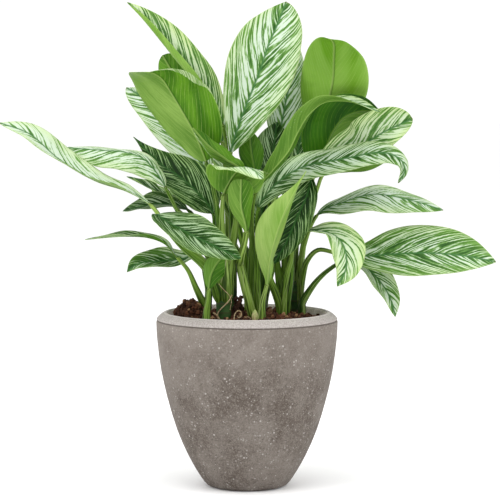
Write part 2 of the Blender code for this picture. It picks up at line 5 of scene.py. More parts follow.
import bpy
import numpy as np
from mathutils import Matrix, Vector


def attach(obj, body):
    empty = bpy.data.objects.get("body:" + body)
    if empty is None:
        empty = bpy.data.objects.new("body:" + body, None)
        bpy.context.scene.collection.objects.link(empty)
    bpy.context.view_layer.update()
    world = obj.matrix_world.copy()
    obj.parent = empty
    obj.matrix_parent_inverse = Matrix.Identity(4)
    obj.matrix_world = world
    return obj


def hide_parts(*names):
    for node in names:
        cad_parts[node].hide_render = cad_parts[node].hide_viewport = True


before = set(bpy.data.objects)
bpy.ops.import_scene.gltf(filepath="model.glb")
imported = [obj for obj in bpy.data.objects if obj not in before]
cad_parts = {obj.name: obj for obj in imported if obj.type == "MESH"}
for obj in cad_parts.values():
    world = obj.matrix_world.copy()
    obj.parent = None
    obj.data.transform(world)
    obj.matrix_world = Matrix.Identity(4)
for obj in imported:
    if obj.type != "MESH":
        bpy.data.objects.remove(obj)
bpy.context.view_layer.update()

MM = 0.001

# How the plant is seen: the picture's column of the pot's axis and row of its foot, its size, the
# size of a pixel on the plane through the axis, the viewer's distance and height in millimetres, how
# far above the picture's middle the camera aims, and its sensor's width.
AXIS_PX = 247.0
FOOT_PX = 486.3
PICTURE_PX = 500
MM_PER_PX = 1.4365
EYE_DISTANCE = 3200.0
EYE_HEIGHT = 580.0
AIM_RISE = 1.5
SENSOR_WIDTH = 36

# The soil and the canes, in millimetres, as the frame has them.
SOIL_LEVEL = 250
ROOT_DEPTH = 20
CANES = {
    "cane_1": {"foot": (-33, -45), "top": (-34, -43), "height": 288, "radius": 10.5},
    "cane_2": {"foot": (8, -40), "top": (-9, -37), "height": 312, "radius": 5.2},
    "cane_3": {"foot": (6, 6), "top": (5, 6), "height": 282, "radius": 8.5},
    "cane_4": {"foot": (52, 4), "top": (52, 4), "height": 285, "radius": 8.5},
    "cane_5": {"foot": (72, 58), "top": (72, 58), "height": 295, "radius": 10.0},
    "cane_6": {"foot": (-24, 32), "top": (-24, 32), "height": 288, "radius": 9.5},
    "cane_7": {"foot": (20, 64), "top": (20, 64), "height": 286, "radius": 9.5},
    "cane_8": {"foot": (-58, 8), "top": (-59, 8), "height": 270, "radius": 6.0},
}

# Where a leaf's stalk starts, in millimetres, as the frame has it: how far a cane's rings stand out,
# the stalk's thickness, how far it first rises with its cane, and its gaps to the cane.
RING_RISE = 0.5
STALK_ROOT_RADIUS = 3.5
STALK_LEAD = 12
STALK_INSET = 0.3
END_GAP = 0.5
SIDE_GAP = 0.2

# A living stalk's sheath, in millimetres: its radius, how far up it fades, and over what share of a
# short stalk. The sheaths on cane_1 are wider, and start slim and widen over their first stretch.
SHEATH_RADIUS = 6.4
SHEATH_REACH = 100
SHEATH_SHARE = 0.55
WIDE_SHEATHS = {"cane_1": 9.5}
WIDE_SHEATH_LEAST = 0.1
WIDE_SHEATH_FOOT = 16

# The stalk above its sheath, in millimetres: its radius by the blade and how much it tapers to that,
# its groove's depth as a share of its radius and its width in radians, and how far up it is full.
STALK_END_RADIUS = 2.6
STALK_TAPER = 1.0
STALK_GROOVE = 0.2
STALK_GROOVE_WIDTH = 0.45
STALK_GROOVE_FULL = 30

# How a sheath clasps its cane, in millimetres: how deep in the cane and in the soil it starts, or at
# what height on cane_1, how far up it meets the stalk's own line, or at what share of a short one,
# and in how many rings. A cane thinner than THIN_CANE carries its stalk like one stem.
SHEATH_INSET = 5.2
SHEATH_DEPTH = 6
SHEATH_FEET = {"cane_1": 266}
CLASP_REACH = 45
CLASP_SHARE = 0.4
CLASP_RINGS = 7
THIN_CANE = 5.5

# A living blade, in millimetres: its thickness by the midrib and at its margin, how deep and wide the
# midrib below it is and how much that fades to the tip, the groove above it, and the tip's radius.
BLADE_THICKNESS = 0.55
MARGIN_THICKNESS = 0.35
RIB_DEPTH = 1.7
RIB_WIDTH = 1.5
RIB_TAPER = 0.8
GROOVE_DEPTH = 0.5
TIP_RADIUS = 0.6

# Its side veins, in millimetres: how far apart they are, how far each leads ahead and sweeps up on
# its way out, how much longer than that way it is, how high the blade puffs up between two and how
# squarely, and how far apart the stripes are.
VEIN_SPACING = 12.5
VEIN_LEAD = 1.75
VEIN_SWEEP = 0.6
VEIN_SLANT = 1.6
PUFF_HEIGHT = 0.45
PUFF_ROUNDNESS = 0.7
STRIPE_SPACING = 13.0

# What a blade does unless its own values say otherwise: how steeply its halves rise and how much
# they curl, in degrees, and how it widens and narrows. For every blade: how soon it opens out from
# its stalk, the curl that is as good as none, and how often, from where and how high it waves.
RISE = (14, 10)
OUTLINE = (1.0, 1.0)
OPENING_RATE = 6
LEAST_CURL = 1e-6
WAVE_COUNT = 2.2
WAVE_STEP = 0.37
WAVE_HEIGHT = 1.5

# How finely a leaf is divided: along its stalk, along its blade and across it, how far the blade's
# rings crowd to its ends and how far its points crowd to its midrib.
STALK_STEPS = 26
BLADE_STEPS = 80
SIDE_STEPS = 28
RING_POINTS = 2 * SIDE_STEPS + 2
STATION_SHIFT = 0.06
SIDE_CROWDING = 1.35

# The order of a leaf's finishes, and what sets the patterns of the leaves and of their halves apart.
UPPER, UNDER, STALK = range(3)
LEAF_SEED = 3
LEAF_SEED_STEP = 7.31
HALF_SEED = 13.7

# The heart of the plant, where the leaves shade one another, in millimetres: its middle, its reach
# across and deep, and the heights between which it ends.
HEART = (12, 14)
HEART_REACH = (92, 52)
HEART_TOP = (390, 520)

# How much the studio light brightens a paint, and what the painted green shade among the leaves
# leaves of it.
LIGHT = 1.6
LEAF_SHADE = (0.33, 0.48, 0.18, 1.0)
WHITE = (1.0, 1.0, 1.0, 1.0)

# The pot's rings (radius, height) from its base up its outer side, over its rim and down inside.
POT_SIDES = 128
POT_RINGS = (
    (50, 0), (58, 2.6), (62, 6.5), (68, 15.2), (73.5, 24), (79.5, 34.5), (85, 45), (93.4, 63), (101, 82),
    (108.4, 105), (115, 129), (119.5, 148), (123.4, 167), (126.8, 190), (129.4, 214), (130.0, 224),
    (130.3, 232), (130.5, 237.6), (130.2, 239), (129.2, 239.8), (128.6, 240.5), (129.2, 241.1),
    (129.9, 241.9), (129.9, 242.7), (129.0, 244.1), (127.0, 246.2), (124.4, 248.5), (121.3, 250.6),
    (119.0, 251.7), (117.6, 252), (116.4, 252), (115.3, 251.5), (114.3, 250.2), (114, 248.5),
    (113.6, 238), (112.9, 225), (111.5, 200), (108, 174), (104, 150), (88, 95), (72, 50), (50, 19),
)

# Where the pot's colour changes, in millimetres: the heights from which its wall gets paler and its
# rim and its lip begin, the step line where a painted shadow lies and how it fades, and the inner
# wall's radius and its paints, pale as painted light against the shade inside the pot.
PALER_WALL = (130, 238)
RIM_START = (240.8, 242.5)
LIP_START = (250.8, 251.8)
STEP_HEIGHT = 240.4
STEP_SHADOW_FADE = (1.2, 0.3)
INNER_RADIUS = 114.6
INNER_START = (200, 220)
INNER_LIT_PAINTS = ((0.6, 0.52, 0.49, 1.0), (0.95, 0.85, 0.8, 1.0))

# The soil's rings (radius, height) up the pot's wall, and from there inwards over its top.
SOIL_SIDES = 96
SOIL_WALL = ((50, 20), (71, 51), (87, 96), (103, 151), (110.5, 201), (112.6, 236), (112.9, 239))
SOIL_TOP = (
    (111, 240.5), (107, 240.5), (103, 240.6), (99, 241.3), (95, 242), (91, 243), (87, 244),
    (83, 244.8), (79, 245.3), (75, 245.8), (71, 246.3), (67, 246.8), (63, 247.2), (59, 247.6),
    (55, 248), (51, 248.4), (47, 248.8), (42, 249.1), (37, 249.3), (32, 249.5), (27, 249.6),
    (22, 249.7), (17, 249.8), (12, 249.9), (7, 250), (3, 250),
)

# The bed's own lumps: their size and height in millimetres, how fine they are, how much of that
# height goes down, and the tone of the bed between its crumbs.
BED_LUMP_SIZE = 8
BED_LUMP_RISE = 6
BED_LUMP_DEPTH = 3
BED_LUMP_MIDDLE = 0.62
BED_TONE = (0.25, 0.2, 0.0)

# The heap of crumbs at the left, in millimetres: its middle and foot, its size from there, and how far
# its loose crumbs spread and how flat that spread is. Then the dark lump that stands up among the
# stalks: its middle, height and radius, how much it tapers, and how its crumbs' tone is darkened.
HEAP_PLACE = (-80, 6, 240)
HEAP_SIZE = (25, 22, 25)
HEAP_SPREAD = 26
HEAP_FLATNESS = 0.9
LUMP_PLACE = (-13, -36)
LUMP_RISE = 26
LUMP_RADIUS = 7
LUMP_TAPER = 0.4
LUMP_TONE = 0.35

# How the loose crumbs are strewn, in millimetres: how many there are, how often one lies on the heap
# or, from the fifth on, on the lump, how far out their middles and their edges may lie, how far they
# keep off canes and stalks, and how much of a crumb's size counts for its edge at either.
CRUMB_COUNT = 1500
CRUMB_SEED = 11
HEAP_EVERY = 9
LUMP_EVERY = 15
LUMP_FIRST = 4
CRUMB_REACH = 111
CRUMB_LIMIT = 113
CANE_CLEARANCE = 1
SHEATH_CLEARANCE = 0.5
WALL_SHARE = 0.6
STANDING_SHARE = 0.45

# The crumbs themselves: how many shapes there are and how far each is shaken out of a ball, then the
# least and the spread of their size in millimetres, and how few of them are big, and of their depth,
# thickness and lift out of the soil as shares of that size.
CRUMB_SHAPES = 6
CRUMB_SHAKE = {"offset": 0.16, "uniform": 0.3, "normal": 0.6}
CRUMB_SIZE = (2.2, 7.5)
CRUMB_RARITY = 2.4
CRUMB_DEPTH = (0.55, 0.45)
CRUMB_THICKNESS = (0.45, 0.5)
CRUMB_LIFT = (0.05, 0.25)

# Bare roots: pixels and depths along each, and its radius in millimetres.
ROOT_STRANDS = (
    (((232, 294, -58), (228, 301, -60), (223, 306, -60), (218, 312, -58), (217, 318, -58)), 0.8),
    (((214, 277, -59), (222, 287, -60), (231, 298, -61), (230, 309, -59)), 0.45),
    (
        (
            (234, 319, -66), (235, 313, -66), (239, 310, -66), (241.5, 313, -66), (239, 317, -66),
            (237, 315, -66),
        ),
        0.8,
    ),
    (((213, 312, -62), (216, 314, -63), (219, 318, -62)), 1.3),
    (((243, 319, -62), (247, 316, -63), (251, 318, -62)), 0.6),
)

# The young shoot: its pixel and depth, its radius and half its height in millimetres, how much it
# narrows to its tip, and the heights between which it turns green.
SHOOT = {"place": (255, 315.5, -74), "radius": 4.6, "rise": 9.5, "taper": 0.45}
SHOOT_GREEN = (255, 263)

# A cane's look, in millimetres: its sides and ring spacing as drawn, its skin under the frame's, its
# rounded end, and its ring scars' spacing, distance from the end, rise, width and line.
CANE_SIDES = 28
CANE_STEP = 1.6
CANE_SKIN = 0.3
CANE_END = 12
CANE_END_LEAST = 0.02
SCAR_SPACING = 13
SCAR_FROM_END = 6.5
SCAR_RISE = 0.5
SCAR_WIDTH = 2.2
SCAR_LINE = 1.0

# The angle in degrees under which two faces shade as one, on the pot and on the rest.
POT_SMOOTHING = 50
SMOOTHING = 60

# The studio, in metres: its floor, its world's light, and its lamps' places, sizes and powers.
FLOOR_SIZE = 60
FLOOR_PAINT = (0.96, 0.96, 0.96, 1.0)
WORLD_LIGHT = 1.06
LAMP_AIM = (0, 0, 0.4)
LAMPS = (
    ("overhead", (-0.3, -0.8, 3.2), 2.4, 46),
    ("left", (-2.4, -1.8, 1.8), 1.6, 30),
    ("right", (2.6, -1.2, 1.5), 1.6, 30),
)


def leaf_looks(silver=0.4, warm=0.3, shade=0.0, pale=(0.4, 0.4), turned=0.0, fine=1.0, hidden=(0, 0)):
    """How silvery and how yellowish a leaf is, how deep in the painted shade of the others it hangs, how
    pale the left and right halves of its underside are, partly by their own tone and partly by painted
    light and shade on either half, how much of a half's margin is turned over to show the striped side,
    of the left half if less than nothing, how fine its stripes are, and how much deeper in the painted
    shade its left and right halves are."""
    return {
        "silver": silver,
        "warm": warm,
        "shade": shade,
        "pale": pale,
        "turned": turned,
        "fine": fine,
        "hidden": hidden,
    }


# The leaves that don't look as most do.
LEAF_LOOKS = {
    "leaf_01": leaf_looks(silver=0.8),
    "leaf_02": leaf_looks(silver=0.66),
    "leaf_03": leaf_looks(silver=0.3, shade=0.3),
    "leaf_04": leaf_looks(silver=0.6, warm=0.1),
    "leaf_05": leaf_looks(silver=0.42, shade=1.0, fine=1.5),
    "leaf_06": leaf_looks(silver=0.4, shade=0.6, fine=1.4),
    "leaf_07": leaf_looks(silver=0.6, warm=0.4, pale=(0.05, 0.55), turned=-0.1),
    "leaf_08": leaf_looks(silver=0.5, warm=0.7, pale=(0.6, 0.6)),
    "leaf_09": leaf_looks(shade=0.25, pale=(0.1, 0.1)),
    "leaf_10": leaf_looks(silver=0.52, warm=0.25),
    "leaf_11": leaf_looks(silver=0.6, warm=0.1, shade=0.1),
    "leaf_12": leaf_looks(silver=0.4, warm=0.2, shade=0.8, fine=1.4),
    "leaf_13": leaf_looks(shade=0.1, pale=(0.4, 0.0), hidden=(0.15, 0.9)),
    "leaf_14": leaf_looks(warm=1.0, pale=(0.35, 0.15)),
    "leaf_15": leaf_looks(silver=0.62, warm=0.6),
    "leaf_16": leaf_looks(silver=0.8, warm=0.4, pale=(0.15, 0.4), shade=0.1, hidden=(0.4, 0)),
    "leaf_17": leaf_looks(silver=0.6, warm=0.2, shade=0.3, fine=1.2),
    "leaf_18": leaf_looks(silver=0.62, warm=0.2),
    "leaf_19": leaf_looks(silver=0.42, warm=0.3, fine=1.15),
    "leaf_20": leaf_looks(silver=0.6, warm=0.6),
    "leaf_21": leaf_looks(silver=0.6),
    "leaf_22": leaf_looks(silver=0.32, warm=0.3, shade=1.0, fine=1.9),
    "leaf_23": leaf_looks(silver=0.5, warm=0.6, pale=(1.0, 1.0)),
    "leaf_24": leaf_looks(silver=0.5, warm=0.6, pale=(0.8, 0.8)),
    "leaf_25": leaf_looks(warm=0.4, pale=(0.1, 0.4), shade=0.15),
    "leaf_26": leaf_looks(silver=0.75, warm=0.5, pale=(0.2, 0.2)),
    "leaf_27": leaf_looks(warm=0.4, pale=(0.1, 0.3), shade=0.35, turned=0.16),
    "leaf_28": leaf_looks(shade=0.5, pale=(0.1, 0.1)),
    "leaf_29": leaf_looks(silver=0.42, warm=0.2, shade=0.8, fine=1.6),
    "leaf_30": leaf_looks(silver=0.5, shade=0.35, pale=(0.1, 0.4), turned=-0.9),
    "leaf_31": leaf_looks(silver=0.45, shade=0.15),
    "leaf_32": leaf_looks(shade=0.6, pale=(0.1, 0.3)),
    "leaf_35": leaf_looks(silver=0.42, shade=0.8, fine=1.4),
    "leaf_36": leaf_looks(silver=0.42, shade=0.85, fine=1.4),
    "leaf_38": leaf_looks(shade=0.1, pale=(0.3, 0.3)),
}


def leaf(root, stalk_px, rib_px, width, faces, left=RISE, right=RISE, outline=OUTLINE):
    """One leaf of the frame, by its root, the pixels and depths of its stalk and midrib, its width,
    the ways its upper side faces, how steeply its halves rise and how it widens and narrows, once
    for both halves or for the left and then the right one. A root is a place in the soil, or a cane,
    the turn about it in degrees, and the height at its side, None for its end."""
    return {
        "root": root,
        "stalk_px": stalk_px,
        "rib_px": rib_px,
        "width": width,
        "faces": faces,
        "left": left,
        "right": right,
        "outline": (outline[:2], outline[-2:]),
    }


# Every leaf of the frame.
LEAVES = {
    "leaf_01": leaf(
        root=("cane_1", 165, 276),
        stalk_px=((210, 271, -50), (182, 241, -46), (163, 219, -40)),
        rib_px=(
            (149, 202, -32), (128, 190, -24), (95, 179, -12), (58, 157, 0), (30, 133, 10),
            (0, 122, 20),
        ),
        width=60,
        faces=((0, -0.1, 1), (0, -0.1, 1), (0, -0.7, 0.7)),
    ),
    "leaf_02": leaf(
        root=("cane_6", 215, 270),
        stalk_px=((205, 250, 10), (183, 220, 4)),
        rib_px=(
            (165, 185, 2), (155, 169, 4), (143, 157, 10), (125, 151, 18), (100, 149, 30),
            (61.5, 146, 45),
        ),
        width=66,
        faces=((0.3, -0.5, 0.8), (0, -0.5, 0.85)),
        left=(-20, -10),
        right=(-20, -5),
        outline=(0.8, 1),
    ),
    "leaf_03": leaf(
        root=("cane_6", 140, 264),
        stalk_px=((200, 235, 60),),
        rib_px=((172, 203, 80), (157, 191, 90), (127, 175.5, 105)),
        width=34,
        faces=((0, -0.1, 1),),
    ),
    "leaf_04": leaf(
        root=("cane_6", 135, None),
        stalk_px=((214, 210, 50),),
        rib_px=((206, 174, 58), (189, 142, 78), (161, 107, 100), (127, 87, 125)),
        width=74,
        faces=((-0.2, -1, 0.3),),
        outline=(0.75, 0.7, 0.75, 1.1),
    ),
    "leaf_05": leaf(
        root=("cane_6", 225, None),
        stalk_px=((215, 240, 24),),
        rib_px=((213, 212, 24), (197, 191, 31), (180, 176, 40), (161, 163, 50), (134, 136, 66)),
        width=72,
        faces=((0.3, -0.9, 0.4),),
        outline=(0.75, 1.6),
    ),
    "leaf_06": leaf(
        root=("cane_6", 180, 250),
        stalk_px=((205, 238, 38),),
        rib_px=((187, 208, 44), (160, 203, 48), (123, 210, 64)),
        width=48,
        faces=((0, -0.5, 0.9),),
    ),
    "leaf_07": leaf(
        root=("cane_1", 150, None),
        stalk_px=((219, 225, -40), (213, 185, -30)),
        rib_px=(
            (206, 160, -25), (196, 135, -36), (184, 113, -48), (172, 93, -62), (163, 79, -82),
            (155, 73, -102), (150, 71.5, -116),
        ),
        width=108,
        faces=((0.15, 1, 0.1), (0.35, 1, 0.3), (0, 0.5, 0.85)),
        left=(0, 0),
        right=(14, 0),
        outline=(0.65, 0.6, 0.7, 0.38),
    ),
    "leaf_08": leaf(
        root=("cane_6", 45, None),
        stalk_px=((230, 190, 42),),
        rib_px=(
            (222, 122, 45), (203, 84, 60), (185, 62, 75), (165, 38, 95), (145, 17, 112),
            (128.4, 2.7, 125),
        ),
        width=56,
        faces=((0.2, -0.9, 0.3),),
        left=(-15, 185),
        right=(8, 8),
        outline=(0.9, 1),
    ),
    "leaf_09": leaf(
        root=("cane_7", 190, None),
        stalk_px=((215, 180, 78),),
        rib_px=((200, 125, 90), (182, 88, 104), (163, 55, 120)),
        width=56,
        faces=((0.2, 1, 0.2),),
        outline=(0.9, 0.5),
    ),
    "leaf_10": leaf(
        root=("cane_3", 160, None),
        stalk_px=((243, 245, 6), (232, 190, 2)),
        rib_px=(
            (231, 151, 0), (239.5, 122.5, 3), (246, 105, 8), (255, 83, 16), (262, 64, 26),
            (269, 43, 36), (277, 25, 46), (286, 2, 60),
        ),
        width=102,
        faces=((0, -1, 0.15),),
        left=(8, 6),
        right=(8, 6),
        outline=(1.3, 1.0, 0.85, 0.62),
    ),
    "leaf_11": leaf(
        root=("cane_7", -60, None),
        stalk_px=((272, 200, 62),),
        rib_px=((277, 150, 70), (284, 110, 78), (291, 75, 88), (298, 45, 100)),
        width=58,
        faces=((-0.2, -1, 0.2),),
    ),
    "leaf_12": leaf(
        root=("cane_4", 150, None),
        stalk_px=((270, 220, 20),),
        rib_px=((270, 180, 26), (273, 150, 38), (277, 121, 50)),
        width=60,
        faces=((0.1, -1, 0.15),),
    ),
    "leaf_13": leaf(
        root=("cane_5", 190, None),
        stalk_px=((296, 225, 42), (306, 190, 26)),
        rib_px=(
            (318, 166, 26), (325, 147, 20), (333, 129, 12), (344, 116, 2), (361, 110, -8),
            (381, 112, -20),
        ),
        width=84,
        faces=((-0.2, 1, 0.1), (-0.3, 1, 0.2), (-0.5, 0.8, 0.5)),
        left=(14, 0),
        right=(8, 0),
        outline=(1.3, 1.0, 0.6, 0.9),
    ),
    "leaf_14": leaf(
        root=("cane_5", 110, None),
        stalk_px=((298, 230, 62), (312, 180, 55)),
        rib_px=(
            (322, 140, 40), (326, 110, 22), (332, 80, -5), (333, 57, -38), (333, 44, -70),
            (330, 39, -98),
        ),
        width=106,
        faces=((0.28, 1, 0.3),),
        left=(20, 0),
        right=(20, 0),
        outline=(0.8, 1.1),
    ),
    "leaf_15": leaf(
        root=("cane_4", 30, None),
        stalk_px=((284, 235, 8), (294, 190, 10)),
        rib_px=(
            (309, 170, 6), (330, 160, -6), (345, 152, -18), (360, 146, -29), (382, 132, -42),
            (412, 118, -58),
        ),
        width=74,
        faces=((-0.1, -0.75, 0.6), (0, -0.9, 0.4)),
        outline=(0.8, 0.5, 0.8, 0.6),
    ),
    "leaf_16": leaf(
        root=("cane_3", -90, None),
        stalk_px=((252, 240, -15), (252, 215, -25)),
        rib_px=(
            (256, 189, -35), (274, 167, -48), (288, 150, -55), (298, 130, -60), (308, 114, -65),
            (323, 102, -70), (340, 100, -74), (358, 103, -78), (380, 112, -82),
        ),
        width=48,
        faces=((-0.55, 0.6, 0.5), (-0.4, 0.5, 0.8), (-0.1, 0.1, 1), (0.1, -0.5, 0.8)),
    ),
    "leaf_17": leaf(
        root=("soil", 14, -22),
        stalk_px=((257, 280, -22), (257, 240, -20)),
        rib_px=(
            (259, 206, -14), (272, 187, -9), (290, 172, -12), (309, 164, -22), (330, 160, -38),
            (352, 156, -54), (372, 152, -72), (390, 153, -80), (402, 161, -82), (404, 170, -82),
            (398, 182, -80),
        ),
        width=46,
        faces=((-0.3, -0.8, 0.5), (-0.1, -0.75, 0.6), (0, -0.8, 0.6), (0.3, -0.8, 0.5), (0.85, -0.5, 0.2)),
        left=(5, 0),
        right=(-5, -10),
        outline=(0.5, 0.7),
    ),
    "leaf_18": leaf(
        root=("cane_5", -40, None),
        stalk_px=((304, 244, 34),),
        rib_px=((318, 213, 28), (343, 201, 22), (373, 193, 15), (410, 199, 8), (443, 209, 0)),
        width=64,
        faces=((0, -0.5, 0.85),),
        left=(-8, -5),
        right=(-12, -10),
    ),
    "leaf_19": leaf(
        root=("cane_5", -38, 280),
        stalk_px=((306, 262, 30), (318, 249, 22)),
        rib_px=(
            (340, 253, 14), (368, 255, 4), (395, 253, -4), (428, 252, -12), (465, 255, -22),
            (496, 261, -32),
        ),
        width=90,
        faces=((0, -0.75, 0.65),),
        left=(8, 10),
        right=(4, 6),
        outline=(1.1, 0.95),
    ),
    "leaf_20": leaf(
        root=("cane_4", -90, None),
        stalk_px=((290, 262, -12), (294, 241, -12)),
        rib_px=(
            (302, 231, -16), (318, 230, -30), (334, 234, -48), (344, 246, -68), (346, 267, -80),
            (337.5, 285.5, -86),
        ),
        width=62,
        faces=((-0.2, -0.1, 1), (0.4, -0.6, 0.7), (0.3, -0.95, 0.1)),
    ),
    "leaf_21": leaf(
        root=("soil", 80, 34),
        stalk_px=((302, 303, 34), (316, 281, 32), (330, 268, 30)),
        rib_px=((345, 260, 28), (362, 264, 22), (378, 278, 16), (390, 297, 8), (395.6, 316, 4)),
        width=44,
        faces=((0.2, -0.5, 0.85), (0.5, -0.8, 0.3)),
    ),
    "leaf_22": leaf(
        root=("cane_4", -15, 268),
        stalk_px=((291, 245, -2), (303, 205, 0)),
        rib_px=((311, 178, -6), (307, 194, -20), (298, 214, -28), (287, 240, -33), (274, 263, -34)),
        width=50,
        faces=((0, -0.8, 0.6), (-0.1, -1, 0.2)),
    ),
    "leaf_23": leaf(
        root=("soil", 21.5, -52),
        stalk_px=((263, 300, -53),),
        rib_px=(
            (267, 283, -56), (269, 264, -64), (274, 242, -77), (283, 215, -94), (295, 190, -108),
            (306, 170, -118),
        ),
        width=62,
        faces=((0, 1, 0.1),),
        left=(72, 0),
        right=(12, 10),
        outline=(1.7, 2.3),
    ),
    "leaf_24": leaf(
        root=("cane_4", 205, 262),
        stalk_px=((266, 260, -34),),
        rib_px=((270, 236, -50), (273, 215, -55), (275.5, 196, -58)),
        width=16,
        faces=((0, 1, 0),),
        left=(55, 0),
        right=(55, 0),
    ),
    "leaf_25": leaf(
        root=("cane_2", 0, None),
        stalk_px=((241, 255, -58),),
        rib_px=((246, 230, -66), (241, 205, -74), (241, 178, -82)),
        width=38,
        faces=((0, 1, 0.1),),
        outline=(1.0, 0.45),
    ),
    "leaf_26": leaf(
        root=("cane_1", -60, None),
        stalk_px=((223, 250, -55), (222, 215, -58)),
        rib_px=(
            (224, 192, -60), (229, 181, -64), (236, 171, -72), (244, 166, -86), (252, 168, -102),
            (263, 178, -112),
        ),
        width=88,
        faces=((0.1, 1, 0.2), (0.1, 0.9, 0.45), (0.15, 0.13, 1), (0.3, -0.2, 0.9), (0.5, -0.5, 0.7)),
        left=(-5, 0),
        right=(-8, -10),
        outline=(0.6, 0.9),
    ),
    "leaf_27": leaf(
        root=("cane_1", 20, None),
        stalk_px=((234, 235, -48), (240, 195, -46)),
        rib_px=((242, 170, -46), (227, 159, -52), (209, 145, -64), (193, 127, -78)),
        width=30,
        faces=((0.4, 0.8, 0.45),),
        left=(80, 0),
        right=(15, 0),
        outline=(0.6, 0.9),
    ),
    "leaf_28": leaf(
        root=("cane_3", 60, None),
        stalk_px=((259, 225, 12),),
        rib_px=((255, 174, 12), (251, 150, 14), (249, 128, 18)),
        width=38,
        faces=((0, 1, 0.1),),
    ),
    "leaf_29": leaf(
        root=("cane_1", 205, 268),
        stalk_px=((209, 270, -58), (181, 244, -60), (163, 223, -64)),
        rib_px=((156, 213, -72), (168, 221, -88), (188, 232, -104), (212, 244, -114), (241, 257.5, -118)),
        width=60,
        faces=((0.2, -0.4, 0.9), (-0.1, -0.75, 0.65), (0, -0.9, 0.4)),
        outline=(0.65, 0.85),
    ),
    "leaf_30": leaf(
        root=("cane_8", 200, None),
        stalk_px=((200, 293, 0), (188, 269, -2)),
        rib_px=((177, 256, -4), (166, 243, -4), (150, 236.5, -2), (125, 235, 4), (85, 238.5, 10)),
        width=32,
        faces=((0, -0.06, 1),),
    ),
    "leaf_31": leaf(
        root=("cane_8", 60, 256),
        stalk_px=((206, 278, 24),),
        rib_px=((198, 253, 24), (182, 258, 20), (165, 260, 15), (138, 263, 8), (127, 271, 4)),
        width=46,
        faces=((0, -0.6, 0.8),),
    ),
    "leaf_32": leaf(
        root=("soil", -57, -68),
        stalk_px=((208, 300, -69),),
        rib_px=((209, 287, -72), (211, 274, -78), (217, 262, -86), (224, 255, -92)),
        width=34,
        faces=((0.4, 0.9, 0.2),),
    ),
    "leaf_33": leaf(
        root=("cane_7", 110, None),
        stalk_px=((245, 210, 110),),
        rib_px=((240, 185, 140), (236, 165, 175), (232, 165, 215), (228, 180, 250)),
        width=84,
        faces=((0, -1, 0.4), (0, -0.1, 1), (0, 0.9, 0.4)),
    ),
    "leaf_34": leaf(
        root=("cane_7", 150, 270),
        stalk_px=((224, 225, 108),),
        rib_px=((205, 205, 125), (188, 195, 160), (170, 195, 195), (158, 205, 222)),
        width=78,
        faces=((0.3, -0.6, 0.6), (0, 0, 1), (-0.3, 0.7, 0.6)),
    ),
    "leaf_35": leaf(
        root=("cane_7", 30, 270),
        stalk_px=((281, 225, 104),),
        rib_px=((287, 200, 112), (293, 175, 120), (298, 150, 128), (303, 126, 138)),
        width=64,
        faces=((0, -1, 0.2),),
    ),
    "leaf_36": leaf(
        root=("cane_7", 75, 255),
        stalk_px=((262, 262, 108),),
        rib_px=((264, 240, 122), (262, 217, 136), (262, 194, 146), (264, 172, 154)),
        width=56,
        faces=((0, -1, 0.2),),
    ),
    "leaf_37": leaf(
        root=("cane_6", 90, 258),
        stalk_px=((228, 250, 70), (227, 212, 82)),
        rib_px=((222, 140, 108), (212, 115, 135), (200, 100, 170), (190, 98, 205)),
        width=80,
        faces=((0.1, -1, 0.3), (0, -0.3, 1), (-0.1, 0.6, 0.8)),
    ),
    "leaf_38": leaf(
        root=("cane_5", 35, None),
        stalk_px=((308, 220, 48), (317, 188, 44)),
        rib_px=((324, 172, 40), (346, 163, 26), (370, 159, 14), (395, 152, 4)),
        width=34,
        faces=((0, 1, 0.15),),
    ),
}


def unit(vectors):
    """Vectors made one unit long."""
    vectors = np.asarray(vectors, float)
    return vectors / np.linalg.norm(vectors, axis=-1, keepdims=True)


def seen(column_px, row_px, depth):
    """The point at this depth that is seen at this pixel."""
    scale = (EYE_DISTANCE + depth) / EYE_DISTANCE
    across = (column_px - AXIS_PX) * MM_PER_PX * scale
    height = EYE_HEIGHT + ((FOOT_PX - row_px) * MM_PER_PX - EYE_HEIGHT) * scale
    return np.array((across, depth, height))


def distances_along(points):
    """How far along a line of points each one is."""
    return np.append(0, np.cumsum(np.linalg.norm(np.diff(points, axis=0), axis=1)))


def drawn_curve(start, start_way, end, end_way, shares):
    """Points at these shares of a smooth curve that leaves one point and meets the other these ways."""
    risen = shares**2 * (3 - 2 * shares)
    points = start * (1 - risen) + end * risen
    return points + start_way * shares * (1 - shares) ** 2 - end_way * shares**2 * (1 - shares)


def curve_through(points, per_span=16):
    """A fine polyline through the points, the length along it, and the length at each point."""
    points = np.asarray(points, float)
    spans = np.sqrt(np.linalg.norm(np.diff(points, axis=0), axis=1))
    knots = np.concatenate(([0], np.cumsum(spans)))
    slopes = np.gradient(points, knots, axis=0)
    shares = np.linspace(0, 1, per_span, endpoint=False)[:, None]
    pieces = []
    for here, span in enumerate(spans):
        first, last = slopes[here] * span, slopes[here + 1] * span
        pieces.append(drawn_curve(points[here], first, points[here + 1], last, shares))
    line = np.concatenate(pieces + [points[-1:]])
    along = distances_along(line)
    return line, along, along[::per_span]


def on_line(line, along, places):
    """Points and directions at these lengths along a polyline."""
    slopes = np.gradient(line, along, axis=0)
    points = np.stack([np.interp(places, along, line[:, axis]) for axis in range(3)], axis=1)
    ways = np.stack([np.interp(places, along, slopes[:, axis]) for axis in range(3)], axis=1)
    return points, unit(ways)


def cane_axis(cane, height):
    """The middle of a cane at this height."""
    share = (height - SOIL_LEVEL) / (cane["height"] - SOIL_LEVEL)
    foot = np.array(cane["foot"], float)
    return np.append(foot + (np.array(cane["top"]) - foot) * share, height)


def cane_rise(cane):
    """The direction a cane grows in."""
    return unit(cane_axis(cane, cane["height"]) - cane_axis(cane, SOIL_LEVEL))


def out_of_cane(turn):
    """The level direction out of a cane at this turn about it, in degrees."""
    angle = math.radians(turn)
    return np.array((math.cos(angle), math.sin(angle), 0))


